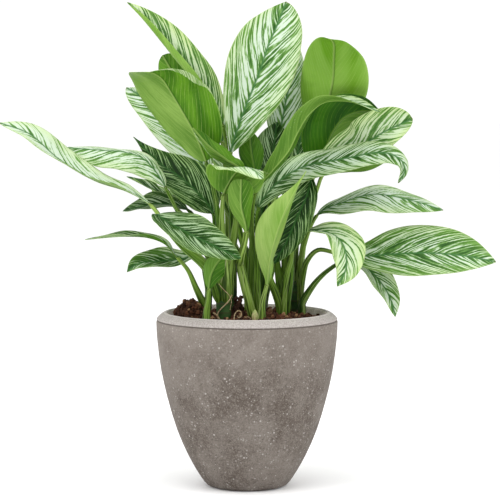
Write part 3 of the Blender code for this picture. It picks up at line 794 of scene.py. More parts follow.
def stalk_start(root):
    """Where a stalk starts and the point above it: in the soil, on a cane's end or at its side."""
    if root[0] == "soil":
        foot = np.array((root[1], root[2], SOIL_LEVEL - ROOT_DEPTH), float)
        return [foot, foot + (0, 0, ROOT_DEPTH + STALK_LEAD / 2)]
    cane = CANES[root[0]]
    outward = out_of_cane(root[1])
    rise = cane_rise(cane)
    if root[2] is None:
        inset = cane["radius"] - STALK_ROOT_RADIUS - STALK_INSET
        place = cane_axis(cane, cane["height"]) + rise * END_GAP + outward * inset
    else:
        reach = cane["radius"] + RING_RISE + STALK_ROOT_RADIUS + SIDE_GAP
        place = cane_axis(cane, root[2]) + outward * reach
    return [place, place + rise * STALK_LEAD + outward / 2]


def blade_share(share, outline):
    """The half width of a blade at a share of its length, as a share of the widest."""
    rise, fall = outline
    widest = rise / (rise + fall)
    return (share / widest) ** rise * ((1 - share) / (1 - widest)) ** fall


def squared(way, up):
    """The direction nearest to up that is square to the way."""
    return unit(up - way * np.dot(up, way))


def leaf_frames(spec):
    """Down a leaf: its points, the ways up and right, and each blade ring's share of the blade."""
    stalk = stalk_start(spec["root"]) + [seen(*point) for point in spec["stalk_px"]]
    rib = [seen(*point) for point in spec["rib_px"]]
    line, along, knots = curve_through(stalk + rib)
    base = knots[len(stalk)]
    shares = np.linspace(0, 1, BLADE_STEPS + 1)
    shares = shares - STATION_SHIFT * np.sin(2 * np.pi * shares)
    stalk_places = np.linspace(0, base, STALK_STEPS, endpoint=False)
    places = np.concatenate((stalk_places, base + shares * (along[-1] - base)))
    points, ways = on_line(line, along, places)
    faces = np.array(spec["faces"], float)
    face_places = np.linspace(0, 1, len(faces))
    ups = np.zeros_like(points)
    for axis in range(3):
        ups[STALK_STEPS:, axis] = np.interp(shares, face_places, faces[:, axis])
    for ring in range(STALK_STEPS, len(points)):
        ups[ring] = squared(ways[ring], ups[ring])
    for ring in range(STALK_STEPS - 1, -1, -1):
        ups[ring] = squared(ways[ring], ups[ring + 1])
    return points, ups, np.cross(ways, ups), shares


def on_thin_cane(spec):
    """Whether a stalk goes on where a cane ends that is no thicker than its sheath."""
    cane, _, height = spec["root"]
    return cane in CANES and height is None and CANES[cane]["radius"] < THIN_CANE


def sheath_radius(spec, distance, length):
    """How thick a stalk is this far from its foot: wide where it sheathes, slim by the blade."""
    cane = spec["root"][0]
    slim = STALK_END_RADIUS + STALK_TAPER * (1 - distance / length)
    reach = min(SHEATH_REACH, SHEATH_SHARE * length)
    if on_thin_cane(spec):
        distance = max(0, distance - (CANES[cane]["height"] - SOIL_LEVEL))
    wide = WIDE_SHEATHS.get(cane, SHEATH_RADIUS)
    radius = slim + (wide - slim) * math.exp(-((distance / reach) ** 2))
    if cane in WIDE_SHEATHS:
        radius *= math.sqrt(min(1, WIDE_SHEATH_LEAST + distance / WIDE_SHEATH_FOOT))
    return radius


def stalk_ring(radius, groove, point, up, right):
    """A cross-section of a stalk, round below and so far grooved above."""
    turns = np.pi - (np.arange(RING_POINTS) + 0.5) * 2 * np.pi / RING_POINTS
    from_groove = (turns - np.pi / 2) / STALK_GROOVE_WIDTH
    reach = (radius * (1 - groove * np.exp(-(from_groove**2))))[:, None]
    return point + reach * (np.cos(turns)[:, None] * right + np.sin(turns)[:, None] * up)


def clasped(spec, points, ways, rights):
    """A stalk's rings with its foot drawn down to where its sheath leaves the soil or its cane."""
    distances = distances_along(points)
    name, turn, _ = spec["root"]
    if name == "soil":
        return points, ways, rights, distances
    cane = CANES[name]
    foot = cane_axis(cane, SHEATH_FEET.get(name, SOIL_LEVEL - SHEATH_DEPTH))
    foot += out_of_cane(turn) * max(0, cane["radius"] - SHEATH_INSET)
    meet = int(np.searchsorted(distances, min(CLASP_REACH, CLASP_SHARE * distances[-1])))
    meet = 0 if on_thin_cane(spec) else meet
    span = np.linalg.norm(points[meet] - foot)
    shares = np.linspace(0, 1, CLASP_RINGS + meet, endpoint=False)[:, None]
    drawn = drawn_curve(foot, cane_rise(cane) * span, points[meet], ways[meet] * span, shares)
    points = np.concatenate((drawn, points[meet:]))
    ways = unit(np.gradient(points, axis=0))
    rights = np.concatenate((np.repeat(rights[meet:meet + 1], len(drawn), axis=0), rights[meet:]))
    rights = unit(rights - ways * (rights * ways).sum(axis=1)[:, None])
    return points, ways, rights, distances_along(points)


def vein_place(along, width, across):
    """How far along the midrib the side vein starts that passes this place of a blade."""
    return along - width * (VEIN_LEAD + VEIN_SWEEP * across**2)


def in_heart(points):
    """How deep in the shade at the heart of the plant each point is, 0 to 1."""
    off = (points[..., :2] - HEART) / HEART_REACH
    bottom, top = HEART_TOP
    rise = np.clip((points[..., 2] - bottom) / (top - bottom), 0, 1)
    return np.exp(-(off**2).sum(axis=-1)) * (1 - rise**2 * (3 - 2 * rise))


def blade_widths(spec, share, sides):
    """How full a blade is at a share of its length, and its half width in millimetres, at each side."""
    left_shape, right_shape = (blade_share(share, outline) for outline in spec["outline"])
    shape = np.where(sides < 0, left_shape, right_shape)
    slim = STALK_END_RADIUS + (TIP_RADIUS - STALK_END_RADIUS) * share
    return shape, spec["width"] / 2 * shape + slim * (1 - shape)


def curled(spec, opened, sides, half):
    """A blade's cross-section, opened out so far: how far out and up each place is, and its tilt."""
    slope, curl = (
        np.radians(np.where(sides < 0, spec["left"][spot], spec["right"][spot]) * opened)
        for spot in (0, 1)
    )
    curl = np.where(np.abs(curl) < LEAST_CURL, LEAST_CURL, curl)
    tilt = slope + curl * np.abs(sides)
    out = half * (np.sin(tilt) - np.sin(slope)) / curl
    height = half * (np.cos(slope) - np.cos(tilt)) / curl
    return out, height, tilt


def blade_ring(spec, phase, share, along, place, sides):
    """A cross-section of a living blade, with waves, veins, a groove and a thin margin, and how far
    from the midrib its places are. It stands at a point, with a way up and a way right."""
    point, up, right = place
    opened = min(1.0, OPENING_RATE * share)
    shape, half = blade_widths(spec, share, sides)
    out, height, tilt = curled(spec, opened, sides, half)
    sign = np.where(sides < 0, -1, 1)
    across = np.abs(sides)
    width = across * half
    waves = np.sin(2 * math.pi * (WAVE_COUNT * share + phase) + sign)
    height += WAVE_HEIGHT * shape * sides**2 * waves
    puffs = np.cos(2 * math.pi * vein_place(along, width, across) / VEIN_SPACING)
    height -= PUFF_HEIGHT * shape * np.sin(np.pi * across) ** PUFF_ROUNDNESS * puffs
    normal = up * np.cos(tilt)[:, None] - right * (sign * np.sin(tilt))[:, None]
    normal[sides == 0] = up
    middle = point + right * (sign * out)[:, None] + up * height[:, None]
    from_rib = np.exp(-((width / RIB_WIDTH) ** 2))
    thick = BLADE_THICKNESS + (MARGIN_THICKNESS - BLADE_THICKNESS) * across**4
    above = thick / 2 - GROOVE_DEPTH * from_rib * (1 - share) * opened
    below = thick / 2 + RIB_DEPTH * from_rib * (1 - RIB_TAPER * share)
    upper = middle + normal * above[:, None]
    under = middle - normal * below[:, None]
    return np.concatenate((upper, under[::-1])), np.concatenate((width, width[::-1]))


def marked(*parts):
    """A row of parts for each point of a ring, where a part is one value for all or one for each."""
    return np.stack(np.broadcast_arrays(*parts), axis=1)


def stalk_rings(spec, points, ups, rights):
    """The rings of a living stalk, and the place of each of their points."""
    ways = np.cross(ups, rights)[:STALK_STEPS]
    line, ways, line_rights, distances = clasped(spec, points[:STALK_STEPS], ways, rights[:STALK_STEPS])
    length = distances[-1] + np.linalg.norm(points[STALK_STEPS] - line[-1])
    turns = np.linspace(-1, 1, RING_POINTS)
    rings, places = [], []
    for point, way, right, distance in zip(line, ways, line_rights, distances):
        groove = STALK_GROOVE * min(1, distance / STALK_GROOVE_FULL)
        radius = sheath_radius(spec, distance, length)
        rings.append(stalk_ring(radius, groove, point, np.cross(right, way), right))
        places.append(marked(turns, distance / length, distance))
    return rings, places


def blade_rings(spec, number, points, ups, rights, shares):
    """The rings of a living blade, and the place and the vein of each of their points."""
    even = np.linspace(-1, 1, SIDE_STEPS + 1)
    sides = np.sign(even) * np.abs(even) ** SIDE_CROWDING
    both = np.concatenate((sides, sides[::-1]))
    length = np.linalg.norm(np.diff(points, axis=0), axis=1).sum()
    rings, places, veins = [], [], []
    for share, place in zip(shares, zip(points, ups, rights)):
        along = share * length
        ring, width = blade_ring(spec, number * WAVE_STEP, share, along, place, sides)
        rings.append(ring)
        places.append(marked(both, share, width))
        veins.append(marked(vein_place(along, width, np.abs(both)), VEIN_SLANT * width))
    return rings, places, veins


def living_leaf(spec, number):
    """A leaf of the frame as a living one: rings of points, and for each its place and its vein."""
    points, ups, rights, shares = leaf_frames(spec)
    rings, places = stalk_rings(spec, points, ups, rights)
    stalk = rings, places, [np.zeros((RING_POINTS, 2)) for _ in rings]
    blade = blade_rings(
        spec, number, points[STALK_STEPS:], ups[STALK_STEPS:], rights[STALK_STEPS:], shares
    )
    return [np.array(first + rest) for first, rest in zip(stalk, blade)]


def linked(name, data):
    """A new object of these data, in the scene."""
    made = bpy.data.objects.new(name, data)
    bpy.context.scene.collection.objects.link(made)
    return made


def mark(mesh, name, values):
    """Keeps three values at every point of a mesh, for its finish to read."""
    layer = mesh.attributes.new(name, "FLOAT_VECTOR", "POINT")
    layer.data.foreach_set("vector", np.asarray(values, np.float32).reshape(-1))


def take(piece, node=None):
    """The piece goes with the object, in place of a node of the frame."""
    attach(piece, "root")
    if node:
        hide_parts(node)


def leaf_skin(name, rings, marks, finishes):
    """A leaf's closed skin of quads, with its marks kept at every point."""
    ring_count, count = rings.shape[:2]
    faces, finish = [], []
    for ring in range(ring_count - 1):
        here, there = ring * count, (ring + 1) * count
        on_stalk = ring < ring_count - BLADE_STEPS - 1
        for spot in range(count):
            after = (spot + 1) % count
            faces.append((here + spot, here + after, there + after, there + spot))
            finish.append(STALK if on_stalk else UPPER if spot < SIDE_STEPS else UNDER)
    faces += [tuple(range(count))[::-1], tuple(range((ring_count - 1) * count, ring_count * count))]
    finish += [STALK, UNDER]
    mesh = bpy.data.meshes.new(name)
    mesh.from_pydata((rings.reshape(-1, 3) * MM).tolist(), [], faces)
    for made in finishes:
        mesh.materials.append(made)
    mesh.polygons.foreach_set("material_index", finish)
    mesh.polygons.foreach_set("use_smooth", [True] * len(faces))
    for mark_name, values in marks.items():
        mark(mesh, mark_name, values)
    mesh.update()
    return linked(name, mesh)


def add_leaves(finishes):
    """Every leaf in place of its node, with its place, its veins, its painted shade and its own look
    at its points.
    """
    for number, (name, spec) in enumerate(LEAVES.items()):
        rings, places, veins = living_leaf(spec, number)
        looks = LEAF_LOOKS.get(name, leaf_looks())
        # How deep each point lies in painted shade: the leaf's own, the plant's heart and each half's
        # extra.
        depth = looks["shade"] + in_heart(rings)
        blade = slice(-BLADE_STEPS - 1, None)
        depth[blade] += np.where(places[blade, :, 0] < 0, *looks["hidden"])
        depth = np.clip(depth, 0, 1)
        every = places.shape[:2] + (1,)
        seed = number * LEAF_SEED_STEP + LEAF_SEED
        marks = {
            "leaf_place": places,
            "leaf_vein_and_shade": np.concatenate((veins * (looks["fine"], 1), depth[..., None]), axis=2),
            "leaf_kind": np.tile((seed, looks["silver"], looks["warm"]), every),
            "leaf_tone": np.tile((*looks["pale"], looks["turned"]), every),
        }
        take(leaf_skin(f"living_{name}", rings, marks, finishes), name)


def light_of(value):
    """The amount of light in a part of a colour, given as 0 to 255, by the curve that screens use."""
    part = value / 255
    return part / 12.92 if part <= 0.04045 else ((part + 0.055) / 1.055) ** 2.4


def seen_as(red, green, blue):
    """The paint of a surface that the studio light shows in this colour, given as 0 to 255."""
    return (*(light_of(value) / LIGHT for value in (red, green, blue)), 1.0)


def new_finish(name):
    """A new material, its node tree and its shader."""
    made = bpy.data.materials.new(name)
    made.use_nodes = True
    return made, made.node_tree, made.node_tree.nodes["Principled BSDF"]


def put(tree, socket, value):
    """Links a socket to another one, or sets it to a value."""
    if isinstance(value, bpy.types.NodeSocket):
        tree.links.new(value, socket)
    else:
        socket.default_value = value


def calc(tree, operation, *values):
    """What a sum of this kind makes of the values."""
    node = tree.nodes.new("ShaderNodeMath")
    node.operation = operation
    for socket, value in zip(node.inputs, values):
        put(tree, socket, value)
    return node.outputs[0]


def scaled(tree, value, by):
    """A value times another."""
    return calc(tree, "MULTIPLY", value, by)


def ranged(tree, share, low, high):
    """Goes evenly from low to high as a share goes from 0 to 1."""
    return calc(tree, "MULTIPLY_ADD", share, high - low, low)


def between(tree, value, start, end):
    """Goes smoothly from 0 to 1 as a value goes from start to end, which may be the lower one."""
    node = tree.nodes.new("ShaderNodeMapRange")
    node.interpolation_type = "SMOOTHSTEP"
    put(tree, node.inputs["Value"], value)
    put(tree, node.inputs["From Min"], start)
    put(tree, node.inputs["From Max"], end)
    return node.outputs["Result"]


def blended(tree, share, first, second, kind="MIX"):
    """A share of the second colour with the rest of the first."""
    node = tree.nodes.new("ShaderNodeMix")
    node.data_type = "RGBA"
    node.blend_type = kind
    put(tree, node.inputs["Factor"], share)
    colours = [socket for socket in node.inputs if socket.type == "RGBA"]
    put(tree, colours[0], first)
    put(tree, colours[1], second)
    return next(socket for socket in node.outputs if socket.type == "RGBA")


def tinted(tree, colour, share, strength, paint):
    """A colour with a share, at most this strong, of a paint over it."""
    return blended(tree, scaled(tree, share, strength), colour, paint)


def vector(tree, x, y, z=0.0):
    """Three values as one vector."""
    node = tree.nodes.new("ShaderNodeCombineXYZ")
    for socket, value in zip(node.inputs, (x, y, z)):
        put(tree, socket, value)
    return node.outputs[0]


def parts_of(tree, place):
    """The three parts of a vector."""
    node = tree.nodes.new("ShaderNodeSeparateXYZ")
    tree.links.new(place, node.inputs[0])
    return node.outputs[:3]


def noise(tree, place, scale, detail=2.0, roughness=0.5):
    """Smooth noise around 0.5: how many waves to a unit, how many finer ones on them, how strong these."""
    node = tree.nodes.new("ShaderNodeTexNoise")
    put(tree, node.inputs["Vector"], place)
    node.inputs["Scale"].default_value = scale
    node.inputs["Detail"].default_value = detail
    node.inputs["Roughness"].default_value = roughness
    return node.outputs["Fac"]


def cells(tree, place, scale):
    """How far each place is from the middle of its cell, and a vector of the cell's own."""
    node = tree.nodes.new("ShaderNodeTexVoronoi")
    put(tree, node.inputs["Vector"], place)
    node.inputs["Scale"].default_value = scale
    return node.outputs["Distance"], node.outputs["Color"]


def attribute(tree, name):
    """The three values that a mesh keeps at its points under this name."""
    node = tree.nodes.new("ShaderNodeAttribute")
    node.attribute_name = name
    return parts_of(tree, node.outputs["Vector"])


def object_place(tree):
    """The place on a piece, in metres."""
    return tree.nodes.new("ShaderNodeTexCoord").outputs["Object"]


def bumped(tree, shader, height, strength, distance):
    """Lets a surface rise and fall so strongly with a pattern, over a distance in metres."""
    node = tree.nodes.new("ShaderNodeBump")
    node.inputs["Strength"].default_value = strength
    node.inputs["Distance"].default_value = distance
    tree.links.new(height, node.inputs["Height"])
    tree.links.new(node.outputs["Normal"], shader.inputs["Normal"])


def coated(tree, shader, colour, roughness, gloss=0.5):
    """Gives a surface its colour, roughness and gloss."""
    tree.links.new(colour, shader.inputs["Base Color"])
    put(tree, shader.inputs["Roughness"], roughness)
    shader.inputs["Specular IOR Level"].default_value = gloss


def leaf_nodes(tree):
    """What a leaf's points tell its finish: their place, their vein, their painted shade and their
    own look.
    """
    side, share, width = attribute(tree, "leaf_place")
    vein, out, shade = attribute(tree, "leaf_vein_and_shade")
    seed, silver, warm = attribute(tree, "leaf_kind")
    left_pale, right_pale, turned = attribute(tree, "leaf_tone")
    on_right = calc(tree, "GREATER_THAN", side, 0.0)
    paler = calc(tree, "SUBTRACT", right_pale, left_pale)
    half_seed = scaled(tree, calc(tree, "SIGN", side), HALF_SEED)
    return {
        "side": side,
        "across": calc(tree, "ABSOLUTE", side),
        "share": share,
        "width": width,
        "vein": vein,
        "out": out,
        "own": calc(tree, "ADD", seed, half_seed),
        "seed": seed,
        "silver": silver,
        "warm": warm,
        "shade": shade,
        "pale": calc(tree, "MULTIPLY_ADD", on_right, paler, left_pale),
        "turned": turned,
    }


def along_veins(tree, on, step, stretch, shift, detail=2.0, roughness=0.5):
    """Noise of this size in millimetres across the side veins, and drawn out this far along them."""
    across = calc(tree, "DIVIDE", on["vein"], step)
    along = calc(tree, "DIVIDE", on["out"], stretch)
    place = vector(tree, across, along, calc(tree, "ADD", on["own"], shift))
    return noise(tree, place, scale=1.0, detail=detail, roughness=roughness)


def steps(tree, value, stops):
    """A colour ramp through (place, colour) stops."""
    node = tree.nodes.new("ShaderNodeValToRGB")
    put(tree, node.inputs["Fac"], value)
    ramp = node.color_ramp.elements
    while len(ramp) < len(stops):
        ramp.new(0.5)
    for stop, (place, colour) in zip(ramp, stops):
        stop.position = place
        stop.color = colour
    return node.outputs["Color"]


def shaded(tree, colour, shade):
    """A leaf's colour in painted shade: the green light that comes through the leaves around it."""
    return blended(tree, 1.0, colour, blended(tree, shade, WHITE, LEAF_SHADE), "MULTIPLY")


def vein_lines(tree, on):
    """Rises and falls from side vein to side vein."""
    return calc(tree, "ABSOLUTE", calc(tree, "SINE", scaled(tree, on["vein"], math.pi / VEIN_SPACING)))


def stripes(tree, on, ragged):
    """How light the upper side is, in wavy, ragged stripes that get a little darker by the midrib."""
    hairs = along_veins(tree, on, step=3.2, stretch=30.0, shift=4.5, detail=3.0, roughness=0.65)
    bands = along_veins(tree, on, step=11.0, stretch=50.0, shift=0.0, detail=1.0)
    drift = along_veins(tree, on, step=24.0, stretch=60.0, shift=7.5, detail=1.0)
    wobble = along_veins(tree, on, step=10.0, stretch=12.0, shift=9.5)
    turns = calc(tree, "MULTIPLY_ADD", on["vein"], 1 / STRIPE_SPACING, scaled(tree, drift, 3.6))
    turns = calc(tree, "MULTIPLY_ADD", wobble, 0.8, turns)
    waves = calc(tree, "SINE", scaled(tree, turns, 2 * math.pi))
    value = calc(tree, "MULTIPLY_ADD", waves, 0.15, 0.5)
    near_rib = between(tree, on["width"], 9.0, 1.0)
    value = calc(tree, "MULTIPLY_ADD", near_rib, -0.08, value)
    for amount, pattern in ((0.55, ragged), (0.5, hairs), (0.7, bands), (0.5, on["silver"])):
        value = calc(tree, "MULTIPLY_ADD", pattern, amount, calc(tree, "SUBTRACT", value, amount / 2))
    return value


def striped(tree, on, value):
    """The colours of the stripes, from dark green to silver, yellower towards the margin."""
    green = steps(tree, value, (
        (0.22, seen_as(50, 96, 36)),
        (0.38, seen_as(88, 140, 60)),
        (0.48, seen_as(132, 178, 96)),
        (0.58, seen_as(166, 206, 136)),
    ))
    outer = between(tree, on["across"], 0.3, 1.0)
    green = tinted(tree, green, outer, 0.4, seen_as(122, 174, 58))
    green = shaded(tree, shaded(tree, green, on["shade"]), scaled(tree, on["shade"], 0.35))
    warm = calc(tree, "MULTIPLY_ADD", outer, 0.5, calc(tree, "SUBTRACT", on["warm"], 0.2))
    silver = blended(tree, warm, seen_as(230, 248, 228), seen_as(218, 242, 164))
    return blended(tree, between(tree, value, 0.48, 0.6), green, silver)


def upper_finish():
    """The upper side: striped along its veins, with a green midrib, a pale margin and a brown tip."""
    made, tree, shader = new_finish("leaf_upper")
    on = leaf_nodes(tree)
    ragged = along_veins(tree, on, step=2.2, stretch=7.0, shift=2.5, detail=3.0, roughness=0.7)
    colour = striped(tree, on, stripes(tree, on, ragged))
    rib = between(tree, on["width"], 2.0, 0.9)
    colour = tinted(tree, colour, rib, 0.85, seen_as(72, 128, 66))
    tip = between(tree, on["share"], 0.985, 0.996)
    colour = tinted(tree, colour, tip, 0.4, seen_as(140, 124, 70))
    margin = between(tree, on["across"], 0.965, 0.985)
    colour = tinted(tree, colour, margin, 0.8, seen_as(196, 222, 150))
    colour = shaded(tree, colour, scaled(tree, on["shade"], 0.82))
    coated(tree, shader, colour, ranged(tree, ragged, 0.36, 0.52), gloss=0.12)
    relief = calc(tree, "ADD", scaled(tree, vein_lines(tree, on), 0.6), scaled(tree, ragged, 0.4))
    bumped(tree, shader, relief, strength=0.3, distance=0.0006)
    return made


def turned_over(tree, on):
    """1 where a margin is turned over, 0 elsewhere on the underside."""
    ragged = noise(tree, vector(tree, scaled(tree, on["share"], 5), 0.0, on["seed"]), scale=1.0)
    reach = scaled(tree, calc(tree, "ABSOLUTE", on["turned"]), scaled(tree, ragged, 2.4))
    reach = scaled(tree, reach, scaled(tree, between(tree, on["share"], 0.4, 0.8), 1.8))
    near = calc(tree, "LESS_THAN", calc(tree, "SUBTRACT", 1.0, on["across"]), reach)
    own_side = calc(tree, "GREATER_THAN", scaled(tree, on["side"], on["turned"]), 0.0)
    return scaled(tree, near, own_side)


def plain_green(tree, on, fine):
    """The green of the underside, paler or deeper by patches, bands and fine streaks."""
    bands = along_veins(tree, on, step=14.0, stretch=70.0, shift=0.0)
    wide = along_veins(tree, on, step=70.0, stretch=60.0, shift=5.0, detail=1.0)
    patches = between(tree, wide, 0.35, 0.65)
    # How pale the half is: partly its own tone, partly painted light and shade on that half.
    deep = blended(tree, on["pale"], seen_as(54, 114, 2), seen_as(132, 178, 70))
    high = blended(tree, on["pale"], seen_as(106, 168, 20), seen_as(186, 216, 122))
    colour = blended(tree, patches, deep, high)
    colour = tinted(tree, colour, between(tree, bands, 0.4, 0.6), 0.3, high)
    colour = tinted(tree, colour, between(tree, fine, 0.4, 0.62), 0.4, deep)
    vivid = blended(tree, patches, seen_as(128, 190, 34), seen_as(158, 210, 84))
    return tinted(tree, colour, between(tree, on["warm"], 0.5, 1.0), 0.75, vivid)


def under_finish():
    """The underside: plain green with thin pale side veins, a pale midrib with a painted shadow line at
    its left, a pale brim, and the striped side where a margin is turned over."""
    made, tree, shader = new_finish("leaf_under")
    on = leaf_nodes(tree)
    fine = along_veins(tree, on, step=3.6, stretch=16.0, shift=2.5, detail=3.0, roughness=0.6)
    lines = vein_lines(tree, on)
    colour = plain_green(tree, on, fine)
    veins = scaled(tree, between(tree, lines, 0.25, 0.05), between(tree, fine, 0.35, 0.6))
    colour = tinted(tree, colour, veins, 0.55, seen_as(190, 222, 112))
    # A painted shadow along the left of the raised midrib.
    on_left = calc(tree, "LESS_THAN", on["side"], 0.0)
    rib_shadow = scaled(tree, on_left, between(tree, on["width"], 3.6, 1.6))
    colour = tinted(tree, colour, rib_shadow, 0.6, seen_as(48, 96, 12))
    rib = between(tree, on["width"], 1.5, 0.7)
    colour = tinted(tree, colour, rib, 0.6, seen_as(182, 214, 116))
    brim = between(tree, on["across"], 0.96, 0.985)
    colour = tinted(tree, colour, brim, 0.5, seen_as(176, 212, 112))
    stripe = between(tree, fine, 0.42, 0.58)
    margin = blended(tree, stripe, seen_as(134, 178, 90), seen_as(216, 238, 180))
    colour = blended(tree, turned_over(tree, on), colour, margin)
    coated(tree, shader, shaded(tree, colour, on["shade"]), ranged(tree, fine, 0.4, 0.55), gloss=0.12)
    bumped(tree, shader, calc(tree, "ADD", lines, fine), strength=0.25, distance=0.0005)
    return made


def sheath_edges(tree, on):
    """Where the two slanting edges of a stalk's sheath run, up to where the sheath ends."""
    chance = noise(tree, vector(tree, on["seed"], 4.5), scale=5.3, detail=0.0)
    leaning = calc(tree, "SIGN", calc(tree, "SUBTRACT", chance, 0.5))
    slant = calc(tree, "MULTIPLY_ADD", on["width"], 1 / 85, -0.2)
    slanted = calc(tree, "MULTIPLY_ADD", on["side"], leaning, slant)
    off = calc(tree, "ABSOLUTE", calc(tree, "SUBTRACT", calc(tree, "ABSOLUTE", slanted), 0.13))
    sheathed = between(tree, on["width"], SHEATH_REACH, 85)
    return scaled(tree, between(tree, off, 0.04, 0.015), sheathed)


def stalk_finish():
    """A stalk: streaked green, olive and darker where it sheathes, with pale sheath edges, and dark
    streaks that are partly its own and partly painted shade.
    """
    made, tree, shader = new_finish("leaf_stalk")
    on = leaf_nodes(tree)
    around, up = scaled(tree, on["side"], 7), calc(tree, "DIVIDE", on["width"], 70)
    streaks = noise(tree, vector(tree, around, up, on["seed"]), scale=1.0, detail=3.0, roughness=0.6)
    tone = between(tree, noise(tree, vector(tree, on["seed"], 0.5), scale=3.7, detail=0.0), 0.45, 0.62)
    low = blended(tree, tone, seen_as(52, 86, 26), seen_as(152, 178, 76))
    high = blended(tree, tone, seen_as(88, 132, 36), seen_as(176, 212, 98))
    colour = blended(tree, between(tree, on["share"], 0.05, 0.5), low, high)
    colour = tinted(tree, colour, between(tree, streaks, 0.52, 0.6), 0.7, seen_as(190, 214, 126))
    # Dark streaks: partly the stalk's own streaking, partly painted shade.
    colour = tinted(tree, colour, between(tree, streaks, 0.5, 0.4), 0.8, seen_as(34, 60, 12))
    colour = tinted(tree, colour, sheath_edges(tree, on), 0.7, seen_as(200, 208, 150))
    coated(tree, shader, shaded(tree, colour, on["shade"]), ranged(tree, streaks, 0.32, 0.52), gloss=0.08)
    bumped(tree, shader, streaks, strength=0.3, distance=0.0006)
    return made


def concrete(tree, place, clouds, grain):
    """Grey-brown concrete: clouded and mottled, with paler and darker grains."""
    mottle = noise(tree, place, scale=150.0, detail=3.0, roughness=0.6)
    colour = blended(tree, between(tree, clouds, 0.34, 0.66), seen_as(100, 89, 80), seen_as(140, 131, 123))
    colour = tinted(tree, colour, between(tree, mottle, 0.45, 0.62), 0.25, seen_as(162, 153, 145))
    colour = tinted(tree, colour, between(tree, grain, 0.5, 0.66), 0.8, seen_as(158, 149, 140))
    return tinted(tree, colour, between(tree, grain, 0.46, 0.34), 0.55, seen_as(84, 74, 66))


def specks(tree, place):
    """Where the concrete has pale specks, each of its own size and strength, here and there."""
    off, own = cells(tree, place, scale=260.0)
    size, strength, _ = parts_of(tree, own)
    specked = calc(tree, "LESS_THAN", off, ranged(tree, size, 0.06, 0.4))
    here = between(tree, noise(tree, place, scale=75.0, detail=2.0), 0.46, 0.56)
    return scaled(tree, scaled(tree, specked, here), strength)


def pits(tree, place):
    """Where the concrete is pitted, here and there."""
    off, _ = cells(tree, place, scale=190.0)
    here = between(tree, noise(tree, place, scale=47.0, detail=1.0), 0.54, 0.62)
    return scaled(tree, between(tree, off, 0.26, 0.1), here)


def inside_pot(tree, across, deep, height):
    """1 on the wall inside the pot's rim, 0 elsewhere."""
    node = tree.nodes.new("ShaderNodeVectorMath")
    node.operation = "LENGTH"
    tree.links.new(vector(tree, across, deep), node.inputs[0])
    within = calc(tree, "LESS_THAN", node.outputs["Value"], INNER_RADIUS * MM)
    return scaled(tree, within, between(tree, height, *INNER_START))


def pot_finish():
    """Cast concrete: grey-brown, specked and pitted, paler up its wall and on its rim, with a painted
    shadow at the step under the rim, and painted pale inside as painted light against the shade there.
    """
    made, tree, shader = new_finish("cast_concrete")
    place = object_place(tree)
    across, deep, rise = parts_of(tree, place)
    height = scaled(tree, rise, 1 / MM)
    clouds = noise(tree, place, scale=16.0, detail=5.0, roughness=0.62)
    grain = noise(tree, place, scale=520.0, detail=3.0, roughness=0.7)
    cast = between(tree, grain, 0.35, 0.65)
    pitted = pits(tree, place)
    colour = concrete(tree, place, clouds, grain)
    colour = tinted(tree, colour, specks(tree, place), 0.95, seen_as(206, 200, 194))
    colour = tinted(tree, colour, pitted, 0.55, seen_as(74, 65, 58))
    colour = tinted(tree, colour, between(tree, height, *PALER_WALL), 0.33, seen_as(178, 168, 159))
    rim = blended(tree, cast, seen_as(184, 176, 171), seen_as(226, 219, 214))
    colour = tinted(tree, colour, between(tree, height, *RIM_START), 0.8, rim)
    colour = tinted(tree, colour, between(tree, height, *LIP_START), 0.85, seen_as(232, 224, 219))
    # A painted shadow along the step under the rim.
    from_step = calc(tree, "ABSOLUTE", calc(tree, "SUBTRACT", height, STEP_HEIGHT))
    colour = tinted(tree, colour, between(tree, from_step, *STEP_SHADOW_FADE), 0.55, seen_as(96, 88, 82))
    # The inner wall is painted pale: painted light against the shade inside the pot.
    inner = blended(tree, cast, *INNER_LIT_PAINTS)
    colour = blended(tree, inside_pot(tree, across, deep, height), colour, inner)
    coated(tree, shader, colour, ranged(tree, grain, 0.72, 0.92), gloss=0.25)
    relief = calc(tree, "MULTIPLY_ADD", clouds, 0.5, grain)
    bumped(tree, shader, calc(tree, "MULTIPLY_ADD", pitted, -1.5, relief), strength=0.5, distance=0.0012)
    return made


def soil_finish():
    """Crumbs of potting soil: dark to reddish brown, a few tan ones, each crumb its own tone."""
    made, tree, shader = new_finish("potting_soil")
    tone, warm, _ = attribute(tree, "crumb_tone")
    grain = noise(tree, object_place(tree), scale=260.0, detail=4.0, roughness=0.65)
    colour = blended(tree, tone, seen_as(44, 28, 20), seen_as(120, 76, 52))
    colour = blended(tree, between(tree, warm, 0.86, 0.9), colour, seen_as(176, 138, 98))
    colour = tinted(tree, colour, between(tree, grain, 0.4, 0.7), 0.5, seen_as(96, 62, 44))
    coated(tree, shader, colour, 0.92, gloss=0.2)
    bumped(tree, shader, grain, strength=0.6, distance=0.0012)
    return made


def cane_finish():
    """A cane: dark bluish green skin with fine streaks and brownish ring scars."""
    made, tree, shader = new_finish("ringed_cane")
    place = object_place(tree)
    scar, _, _ = attribute(tree, "cane_place")
    grain = noise(tree, place, scale=180.0, detail=3.0, roughness=0.6)
    patches = noise(tree, place, scale=45.0, detail=3.0, roughness=0.5)
    colour = blended(tree, between(tree, patches, 0.35, 0.7), seen_as(30, 66, 30), seen_as(62, 98, 46))
    colour = tinted(tree, colour, grain, 0.2, seen_as(92, 118, 60))
    colour = tinted(tree, colour, scar, 0.7, seen_as(74, 62, 40))
    coated(tree, shader, colour, ranged(tree, grain, 0.55, 0.75), gloss=0.12)
    bumped(tree, shader, grain, strength=0.4, distance=0.0008)
    return made


